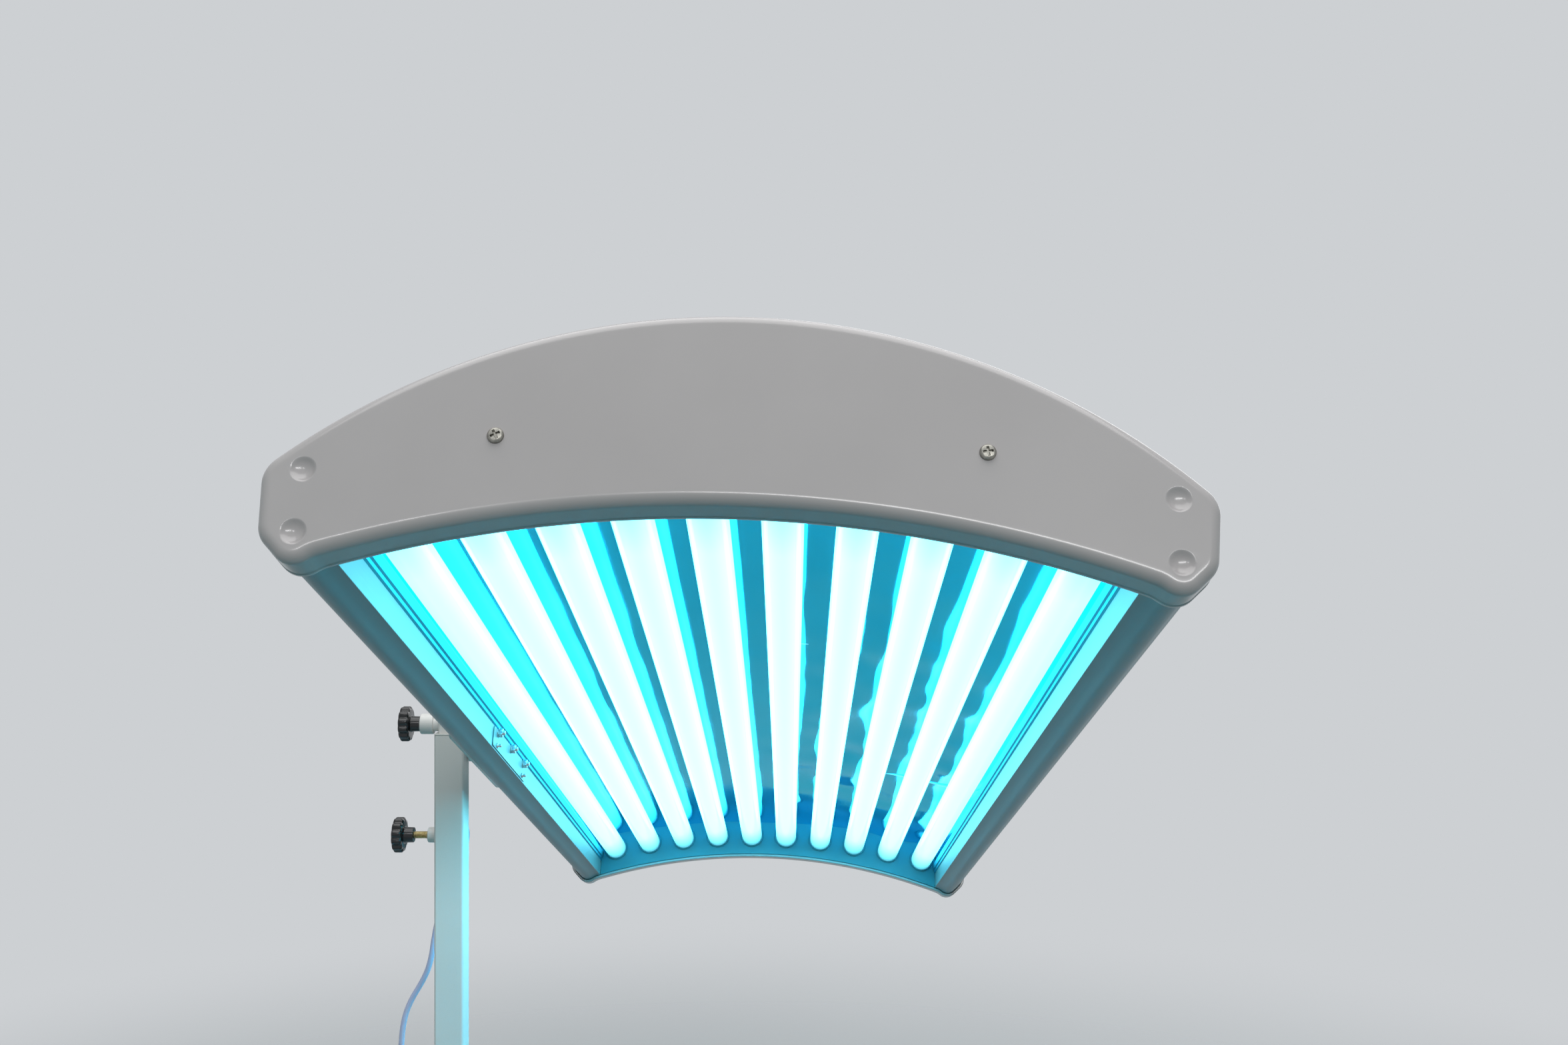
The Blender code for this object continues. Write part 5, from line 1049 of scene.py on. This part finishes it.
# Moulded acetal: off white, smooth and faintly waxy
acetal = finish("white acetal", GUIDE_TONES, roughness=(0.35, 0.45), drift=40, grain=(1.5, 1.5, 1.5),
                relief=0.004)
build("column_guide_rim", guide_shape, acetal, "stand", STAND_PLACE, ["column_guide"],
      GUIDE_EDGE)

# Height clamp: a turned steel boss welded to the column and coated with it, and a yellow zinc plated stud
# that the second knob drives against the mast.
STUD_RADIUS = 0.005
THREAD_PITCH = 0.00125
THREAD_DEPTH = 0.0007
THREAD_ROOT = STUD_RADIUS - THREAD_DEPTH
THREAD_PROFILE = ((THREAD_ROOT, 0.1), (STUD_RADIUS, 0.45), (STUD_RADIUS, 0.6), (THREAD_ROOT, 0.95))
THREAD_START = HEIGHT_HUB_END + 0.001
THREAD_END = -0.0163
STUD_END = [(0.0040, -0.0160), (0.0035, -0.0153), (0, -0.0153)]
CLAMP_PROFILE = (
    (0, -0.0200), (0.0105, -0.0200), (0.0105, -0.0300), (0.0101, -0.0312), (0.0090, -0.0319), (0.0080, -0.0320),
    (0.0062, -0.0320), (0.0057, -0.0315), (0, -0.0312),
)
CLAMP_WELD = {"along": -0.0203, "radius": 0.0110, "bead": 0.0016}
YELLOW_TONES = ("A79A6E", "BDB189")

clamp_shape = bmesh.new()
lathe(clamp_shape, CLAMP_PROFILE, "X", sides=FINE_ROUND)
weld(clamp_shape, "X", **CLAMP_WELD)
build("height_boss_housing", clamp_shape, powder, "stand", CLAMP_PLACE, ["height_boss"],
      sharp=30)
# Yellow zinc plate: warm metal with a faint rainbow of gold and green
yellow = finish("yellow zinc plate", YELLOW_TONES, roughness=(0.24, 0.36), drift=4, grain=(1.0, 1.0, 1.0),
                relief=0.003, metallic=1.0)
stud_shape = bmesh.new()
stud_profile = [(0, HEIGHT_HUB_END + FIT), (THREAD_ROOT, HEIGHT_HUB_END + FIT)]
for k in range(int((THREAD_END - THREAD_START) / THREAD_PITCH)):
    root = THREAD_START + k * THREAD_PITCH
    stud_profile += [(radius, root + share * THREAD_PITCH) for radius, share in THREAD_PROFILE]
lathe(stud_shape, stud_profile + STUD_END, "X", sides=SMALL_ROUND)
build("height_stud_thread", stud_shape, yellow, "height_knob", CLAMP_PLACE, ["height_stud"],
      sharp=25)

# Base: two feet joined by a spine, rectangular steel tube welded and powder coated, with black plugs in the
# open ends of the feet. Four bolts with washers hold the column's plate down on the post side foot.
BEAM_HALF_WIDTH = 0.025
BEAM_HALF_HEIGHT = 0.015
BEAM_CORNER = 0.005
BEAM_MIDDLE = BEAM_TOP - BEAM_HALF_HEIGHT
FOOT_SPREAD = 0.700
FEET = (("post_side_foot", 0.0, 0.400), ("free_side_foot", FOOT_SPREAD, 0.320))
PLUG_FLANGE = 0.004
PLUG_RINGS = (
    (0.0004, PLUG_FLANGE), (0.0001, 0.0032), (0.0001, 0.0014), (0.0008, 0.0004), (0.0022, 0.0), (0.0040, 0.0),
    (0.0044, 0.0006), (0.0048, 0.0006),
)
SEAM_STEP = 0.0016
SEAM_SIDES = 10
SEAM_OFFSET = 0.0002
SEAM_RIPPLE = 0.16
SEAM_RATE = 2.1
COLUMN_SEAM = 0.0018
PLATE_BOLT_X = 0.010
PLATE_BOLT_Y = 0.045
PLATE_WASHER = 0.0016
PLATE_BOLT_TOP = 0.0064
PLUG_TONES = ("17191B", "202224")


def beam_section(shrink=0.0):
    """The beam's outline about its own axis."""
    return rounded_rectangle(BEAM_HALF_WIDTH - shrink, BEAM_HALF_HEIGHT - shrink, BEAM_CORNER - shrink)


# Black polyethylene: dull, with the fine pebble of its mould
polyethylene = finish("black polyethylene", PLUG_TONES, roughness=(0.45, 0.6), drift=25, grain=(0.8, 0.8, 0.8),
                      relief=0.02)
for foot_node, foot_x, foot_half in FEET:
    foot_shape = bmesh.new()
    foot_outline = [(foot_x + u, BEAM_MIDDLE + v) for u, v in beam_section()]
    extrude(foot_shape, foot_outline, -foot_half + PLUG_FLANGE, foot_half - PLUG_FLANGE, "Y")
    build(foot_node + "_tube", foot_shape, powder, "stand", STAND_PLACE, [foot_node])
    for end_name, side in (("front", -1), ("rear", 1)):
        plug_shape = bmesh.new()
        plug_loops = []
        for shrink, inwards in PLUG_RINGS:
            plug_loops.append([plug_shape.verts.new((foot_x + u, side * (foot_half - inwards), BEAM_MIDDLE + v))
                               for u, v in beam_section(shrink)])
        loft(plug_shape, plug_loops)
        build(f"{foot_node}_{end_name}_plug", plug_shape, polyethylene, "stand", STAND_PLACE,
              sharp=50)
spine_shape = bmesh.new()
spine_outline = [(u, BEAM_MIDDLE + v) for u, v in beam_section()]
extrude(spine_shape, spine_outline, BEAM_HALF_WIDTH + FIT, FOOT_SPREAD - BEAM_HALF_WIDTH - FIT, "X")
build("base_spine_tube", spine_shape, powder, "stand", STAND_PLACE, ["base_spine"])


def seam(shape, path, bead):
    """A weld bead along a closed path of points, rippled along its run."""
    rings = []
    count = len(path)
    for i, spot in enumerate(path):
        run = (Vector(path[(i + 1) % count]) - Vector(path[i - 1])).normalized()
        across = run.orthogonal().normalized()
        third = run.cross(across)
        swell = bead * (1 + SEAM_RIPPLE * sin(SEAM_RATE * i))
        ring = []
        for k in range(SEAM_SIDES):
            angle = 2 * pi * k / SEAM_SIDES
            off = across * swell * cos(angle) + third * swell * sin(angle)
            ring.append(shape.verts.new(Vector(spot) + off))
        rings.append(ring)
    for i in range(count):
        lower = rings[i]
        upper = rings[(i + 1) % count]
        shift = min(range(SEAM_SIDES), key=lambda s: (upper[s].co - lower[0].co).length)
        wall(shape, lower, upper[shift:] + upper[:shift])


def even_loop(outline, step):
    """Points at an even step round a closed outline."""
    loop = [Vector(spot) for spot in outline] + [Vector(outline[0])]
    even = []
    spare = 0.0
    for first, second in zip(loop, loop[1:]):
        length = (second - first).length
        while spare <= length and length > 0:
            even.append(tuple(first.lerp(second, spare / length)))
            spare += step
        spare -= length
    return even


base_welds = bmesh.new()
beam_loop = even_loop(beam_section(-SEAM_OFFSET), SEAM_STEP)
for weld_x in (BEAM_HALF_WIDTH, FOOT_SPREAD - BEAM_HALF_WIDTH):
    seam(base_welds, [(weld_x, u, BEAM_MIDDLE + v) for u, v in beam_loop], WELD_BEAD)
column_loop = even_loop(rounded_rectangle(COLUMN_HALF, COLUMN_HALF, COLUMN_CORNER), SEAM_STEP)
seam(base_welds, [(u, v, PLATE_TOP) for u, v in column_loop], COLUMN_SEAM)
build("base_weld_seams", base_welds, powder, "stand", STAND_PLACE, sharp=80)
plate_bolts = bmesh.new()
for bolt_y in (-PLATE_BOLT_Y, PLATE_BOLT_Y):
    for bolt_x in (-PLATE_BOLT_X, PLATE_BOLT_X):
        head = bmesh.new()
        hexagon(head, PLATE_WASHER, PLATE_BOLT_TOP, (0, 0))
        lathe(head, [(0, 0.0), (WASHER_RADIUS, 0.0), (WASHER_RADIUS, PLATE_WASHER), (0, PLATE_WASHER)], "X")
        spot = Matrix.Translation((bolt_x, bolt_y, PLATE_TOP))
        join(plate_bolts, head, spot @ Matrix.Rotation(-pi / 2, 4, "Y"))
build("column_plate_bolts", plate_bolts, zinc, "stand", STAND_PLACE, sharp=28)

# Castors: pressed steel forks on a ball race under each end of the feet, each with a grey rubber tyre on
# a moulded wheel that turns on a bolt through the fork.
WHEEL_RADIUS = 0.030
WHEEL_HALF = 0.011
FORK_TRAIL = 0.018
FORK_INNER = 0.0125
FORK_OUTER = 0.0150
FORK_TOP = 0.0770
FORK_EDGE = 0.0005
CHEEK_HALF = 0.0150
CHEEK_CORNER = 0.004
CHEEK_DROPS = (0.012, 0.008, 0.020)
CHEEK_SWEEP = 0.55
EYE_RADIUS = 0.0085
EYE_SPAN = (radians(200), radians(360))
BRIDGE_THICKNESS = 0.0035
BRIDGE_CORNER = 0.003
RACE_PROFILE = (
    (0, -0.001), (0.0165, -0.001), (0.0165, 0.0012), (0.0148, 0.0020), (0.0148, 0.0030), (0.0180, 0.0036),
    (0.0180, 0.0072), (0.0172, 0.0080), (0, 0.0080),
)
WHEEL_BOLT_RADIUS = 0.004
WHEEL_BOLT_HEAD = 0.0042
PIN_ROUND = 24
TYRE_ROUND = 0.0065
TYRE_BULGE = 0.92
TYRE_SIDE = ((0.0222, WHEEL_HALF * 0.93), (0.0215, 0.0098))
CORE_HALF = (
    (0.0222, 0.0088), (0.0205, 0.0090), (0.0190, 0.0070), (0.0110, 0.0062), (0.0095, 0.0080), (0.0088, 0.0108),
    (0.0048, 0.0110), (0.0046, 0.0100),
)
RUBBER_TONES = ("343638", "3D3F41")
CORE_TONES = ("8E9294", "999D9F")

# Grey rubber tyre: matt, with a slight bloom; moulded nylon core: smooth mid grey
rubber = finish("grey tyre rubber", RUBBER_TONES, roughness=(0.6, 0.75), drift=18, grain=(0.9, 0.9, 0.9),
                relief=0.02)
nylon = finish("grey moulded nylon", CORE_TONES, roughness=(0.38, 0.5), drift=20, grain=(1.0, 1.0, 1.0),
               relief=0.008)


def cheek_outline():
    """A fork cheek from the side: wide under the race, swept back and round at the wheel bolt."""
    slope = FORK_TRAIL / (FORK_TOP - WHEEL_RADIUS)
    front, rear, swept = CHEEK_DROPS
    eye = arc((-FORK_TRAIL, WHEEL_RADIUS), EYE_RADIUS, *EYE_SPAN, 14)
    return eye + [(CHEEK_HALF, FORK_TOP - front), (CHEEK_HALF, FORK_TOP), (-CHEEK_HALF, FORK_TOP),
                  (-CHEEK_HALF, FORK_TOP - rear), (-CHEEK_HALF - CHEEK_SWEEP * slope * swept, FORK_TOP - swept)]


def mirrored(half):
    """A turned profile from its outer half: the same run on the other side of the middle, then the half."""
    return [(radius, -along) for radius, along in half[::-1]] + list(half)


for castor in ("post_front_castor", "post_rear_castor", "free_front_castor", "free_rear_castor"):
    swivel = joints[castor + "_swivel"]["pos_m"]
    swivel_place = Matrix.Translation((swivel[0], swivel[1], 0))
    fork_shape = bmesh.new()
    for side in (-1, 1):
        extrude(fork_shape, soften(cheek_outline(), CHEEK_CORNER), side * FORK_INNER, side * FORK_OUTER, "X")
    bridge = rounded_rectangle(FORK_OUTER, CHEEK_HALF, BRIDGE_CORNER)
    extrude(fork_shape, bridge, FORK_TOP - BRIDGE_THICKNESS, FORK_TOP, "Z")
    lathe(fork_shape, [(radius, FORK_TOP + rise) for radius, rise in RACE_PROFILE], "Z")
    wheel_bolt = (-FORK_TRAIL, WHEEL_RADIUS)
    for side in (-1, 1):
        hexagon(fork_shape, side * FORK_OUTER, side * (FORK_OUTER + WHEEL_BOLT_HEAD), wheel_bolt)
    lathe(fork_shape, mirrored([(WHEEL_BOLT_RADIUS, FORK_OUTER), (0, FORK_OUTER)]), "X", wheel_bolt, PIN_ROUND)
    build(castor + "_pressed_fork", fork_shape, zinc, castor, swivel_place, [castor + "_fork"],
          FORK_EDGE)
    hub_place = Matrix.Translation(joints[castor + "_roll"]["pos_m"])
    tyre_shape = bmesh.new()
    tyre = arc((WHEEL_RADIUS - TYRE_ROUND, 0.0), TYRE_ROUND, -pi / 2, pi / 2, 14)
    tyre = [(radius, WHEEL_HALF / TYRE_ROUND * TYRE_BULGE * along) for radius, along in tyre]
    tyre_sides = mirrored(TYRE_SIDE)
    lathe(tyre_shape, tyre_sides[:2] + tyre + tyre_sides[2:], "X", sides=FINE_ROUND)
    build(castor + "_tyre", tyre_shape, rubber, castor + "_wheel", hub_place,
          [castor + "_wheel"], sharp=50)
    core_shape = bmesh.new()
    lathe(core_shape, mirrored(CORE_HALF), "X", sides=FINE_ROUND)
    build(castor + "_wheel_core", core_shape, nylon, castor + "_wheel", hub_place, sharp=40)

# Mains lead: a white PVC cord out of a ribbed gland on the column's rear face. It bows behind the post,
# hangs to the floor and is wound into a flat coil held by a strap, with a moulded two pin plug.
CORD_RADIUS = 0.004
CORD_STEP = 0.006
GLAND_HEIGHT = 1.040
GLAND_START = 0.0203
GLAND_TIP = 0.0603
CORD_FLOOR = 0.0043
COIL_CENTRE = (-0.0325, 0.205)
COIL_RADIUS = 0.060
COIL_TURNS = 3
COIL_PITCH = 0.0086
COIL_LOOP_POINTS = 72
COIL_CLIMB = 0.5
ROUTE_STEPS = 24
TAIL_LENGTH = 0.045
TAIL_STEPS = 12
TAIL_RISE = 0.85
PLUG_AXIS = 0.0183
GLAND_NUT = ((0, 0.0), (0.0090, 0.0), (0.0090, 0.0085), (0.0082, 0.0098))
GLAND_RIBS = {"count": 6, "start": GLAND_START + 0.0115, "pitch": 0.0046, "radius": 0.0078, "taper": -0.0004,
              "section": ((-0.0014, -0.0006), (0.0, 0.0), (0.0, 0.0022), (-0.0014, 0.0028))}
GLAND_END = ((0.0050, -0.0006), (0.0046, 0.0), (0, 0.0))
PLUG_NECK = [(0, 0.0), (0.0050, 0.0), (0.0056, -0.0008)]
PLUG_RIBS = {"count": 4, "start": -0.0030, "pitch": -0.0042, "radius": 0.0066, "taper": 0.0008,
             "section": ((0.0, 0.0), (0.0008, -0.0006), (0.0008, -0.0020), (0.0, -0.0026))}
PLUG_BODY = [(0.0105, -0.0205), (0.0130, -0.0235), (0.0160, -0.0262), (0.0178, -0.0290), (0.0180, -0.0310),
             (0.0180, -0.0440), (0.0176, -0.0454), (0.0168, -0.0460), (0, -0.0460)]
CONTACT_PROFILE = ((0, 0.0), (0.0024, 0.0), (0.0024, -0.0180), (0.0020, -0.0192), (0.0010, -0.0195),
                   (0, -0.0195))
CONTACT_X = 0.0095
CONTACT_START = -0.0455
STRAP_HALF_WIDTH = 0.006
STRAP_EDGE = 0.0004
STRAP_SLACK = (0.0012, 0.0008)
STRAP_WALL = (0.0013, 0.0012)
STRAP_CORNERS = (0.0044, 0.0036)
STRAP_SHIFT = (-0.0004, 0.0006)
STRAP_STEPS = 10
PVC_TONES = ("C9CAEC", "D0D1F0")
NICKEL_TONES = ("B9BCBD", "CBCDCE")
STRAP_TONES = ("1B1D20", "26282B")
CORD_ROUTE = (
    (0.0, 0.0606, 1.040), (0.0, 0.0643, 1.040), (0.0, 0.0833, 1.040),
    (-0.001, 0.103, 1.033), (-0.004, 0.116, 1.017), (-0.010, 0.120, 0.993), (-0.020, 0.118, 0.963),
    (-0.0315, 0.112, 0.934), (-0.0415, 0.103, 0.907), (-0.0460, 0.096, 0.880), (-0.0490, 0.091, 0.855),
    (-0.0545, 0.090, 0.835), (-0.0635, 0.090, 0.8165), (-0.0745, 0.090, 0.798), (-0.083, 0.090, 0.780),
    (-0.0885, 0.090, 0.760), (-0.0915, 0.090, 0.735), (-0.0925, 0.090, 0.700), (-0.0925, 0.091, 0.640),
    (-0.0925, 0.093, 0.520), (-0.0925, 0.096, 0.380), (-0.0925, 0.098, 0.240), (-0.0925, 0.099, 0.130),
    (-0.0925, 0.101, 0.080), (-0.0925, 0.108, 0.044), (-0.0925, 0.122, 0.0185), (-0.0925, 0.144, 0.0068),
    (-0.0925, 0.170, CORD_FLOOR), (-0.0925, 0.1967, CORD_FLOOR),
)


def smooth_route(points, step):
    """Even points along a smooth curve through a route."""
    route = [Vector(point) for point in points]
    route = [2 * route[0] - route[1], *route, 2 * route[-1] - route[-2]]
    dense = []
    for a, b, c, d in zip(route, route[1:], route[2:], route[3:]):
        for i in range(ROUTE_STEPS):
            t = i / ROUTE_STEPS
            dense.append(0.5 * (2 * b + (c - a) * t + (2 * a - 5 * b + 4 * c - d) * t * t
                                + (3 * b - a - 3 * c + d) * t ** 3))
    dense.append(route[-2])
    lengths = [0.0]
    for first, second in zip(dense, dense[1:]):
        lengths.append(lengths[-1] + (second - first).length)
    count = ceil(lengths[-1] / step)
    even = []
    spot = 0
    for k in range(count + 1):
        target = lengths[-1] * k / count
        while spot < len(lengths) - 2 and lengths[spot + 1] < target:
            spot += 1
        share = (target - lengths[spot]) / (lengths[spot + 1] - lengths[spot])
        even.append(dense[spot].lerp(dense[spot + 1], share))
    return even


def eased(share):
    """A share that starts and ends gently."""
    return share * share * (3 - 2 * share)


def coil_points():
    """The coil's loops: in at the bottom, up a layer where the spiral turns, and out again on top."""
    points = []
    inwards = COIL_TURNS + COIL_CLIMB / 2
    for i in range(int(2 * inwards * COIL_LOOP_POINTS) + 1):
        turn = i / COIL_LOOP_POINTS
        radius = COIL_RADIUS - COIL_PITCH * (inwards - abs(turn - inwards))
        climb = eased(ramp(turn, COIL_TURNS, COIL_CLIMB))
        angle = pi - 2 * pi * turn
        points.append(Vector((COIL_CENTRE[0] + radius * cos(angle), COIL_CENTRE[1] + radius * sin(angle),
                              CORD_FLOOR + COIL_PITCH * climb)))
    return points


cord_points = smooth_route(CORD_ROUTE, CORD_STEP) + coil_points()
tail_start = cord_points[-1].copy()
for k in range(1, TAIL_STEPS + 1):
    share = k / TAIL_STEPS
    rise = eased(ramp(share, 0.0, TAIL_RISE))
    cord_points.append(Vector((tail_start.x, tail_start.y - TAIL_LENGTH * share,
                               tail_start.z + (PLUG_AXIS - tail_start.z) * rise)))
shift = STAND_PLACE.translation
cord_points = [point + shift for point in cord_points]
cord_curve = bpy.data.curves.new("mains_cord", "CURVE")
cord_curve.dimensions = "3D"
cord_curve.bevel_depth = CORD_RADIUS
cord_curve.bevel_resolution = 6
cord_curve.use_fill_caps = True
cord_spline = cord_curve.splines.new("POLY")
cord_spline.points.add(len(cord_points) - 1)
for spot, point in zip(cord_spline.points, cord_points):
    spot.co = (*point, 1.0)
# Soft PVC sheath: white with a cool lavender cast, satin, very slightly uneven along its length
pvc = finish("white PVC sheath", PVC_TONES, roughness=(0.34, 0.46), drift=50, grain=(2.5, 2.5, 2.5),
             relief=0.01)
cord_curve.materials.append(pvc)
cord = bpy.data.objects.new("mains_cord", cord_curve)
scene.collection.objects.link(cord)
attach(cord, "stand")
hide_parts("power_cord", "cord_coil")


def ribs(count, start, pitch, radius, taper, section):
    """The profile of a run of ribs along a tapering sleeve."""
    points = []
    for k in range(count):
        points += [(radius + taper * k + rise, start + pitch * k + along) for rise, along in section]
    return points


gland_shape = bmesh.new()
gland_profile = [(radius, GLAND_START + along) for radius, along in GLAND_NUT] + ribs(**GLAND_RIBS)
gland_profile += [(radius, GLAND_TIP + along) for radius, along in GLAND_END]
lathe(gland_shape, gland_profile, "Y", (0, GLAND_HEIGHT))
build("ribbed_cord_gland", gland_shape, pvc, "stand", STAND_PLACE, ["cord_gland"], sharp=35)

plug_shape = bmesh.new()
plug_back = tail_start.y - TAIL_LENGTH - FIT
plug_profile = [(radius, plug_back + along) for radius, along in PLUG_NECK + ribs(**PLUG_RIBS) + PLUG_BODY]
lathe(plug_shape, plug_profile, "Y", (tail_start.x, PLUG_AXIS))
plug_body = build("moulded_plug", plug_shape, pvc, "stand", STAND_PLACE, ["mains_plug"], sharp=40)
pin_shape = bmesh.new()
contact_profile = [(radius, plug_back + CONTACT_START + along) for radius, along in CONTACT_PROFILE]
for side in (-1, 1):
    lathe(pin_shape, contact_profile, "Y", (tail_start.x + side * CONTACT_X, PLUG_AXIS), PIN_ROUND)
# Nickel plated brass: bright pins with a soft shine
nickel = finish("nickel plated brass", NICKEL_TONES, roughness=(0.16, 0.26), drift=6, grain=(1.0, 1.0, 1.0),
                relief=0.002, metallic=1.0)
plug_pins = build("plug_pins", pin_shape, nickel, "stand", STAND_PLACE)

strap_shape = bmesh.new()
strap_middle = COIL_CENTRE[1] + COIL_RADIUS - COIL_TURNS / 2 * COIL_PITCH + STRAP_SHIFT[0]
strap_height = CORD_FLOOR + COIL_PITCH / 2 + STRAP_SHIFT[1]
strap_half = COIL_TURNS / 2 * COIL_PITCH + CORD_RADIUS + STRAP_SLACK[0]
strap_rise = COIL_PITCH / 2 + CORD_RADIUS + STRAP_SLACK[1]
strap_loops = []
for k, corner in enumerate(STRAP_CORNERS):
    loop = rounded_rectangle(strap_half - k * STRAP_WALL[0], strap_rise - k * STRAP_WALL[1], corner,
                             STRAP_STEPS)
    strap_loops.append([(strap_middle + u, strap_height + v) for u, v in loop])
strap_left = COIL_CENTRE[0] - STRAP_HALF_WIDTH
extrude(strap_shape, strap_loops[0], strap_left, strap_left + 2 * STRAP_HALF_WIDTH, "X", [strap_loops[1]])
# Woven nylon strap: dull black, its fine weave seen only as an even roughness
strap_nylon = finish("black nylon strap", STRAP_TONES, roughness=(0.6, 0.75), drift=12, grain=(0.5, 0.5, 0.5),
                     relief=0.05)
strap = build("coil_strap", strap_shape, strap_nylon, "stand", STAND_PLACE,
              bevel=STRAP_EDGE)
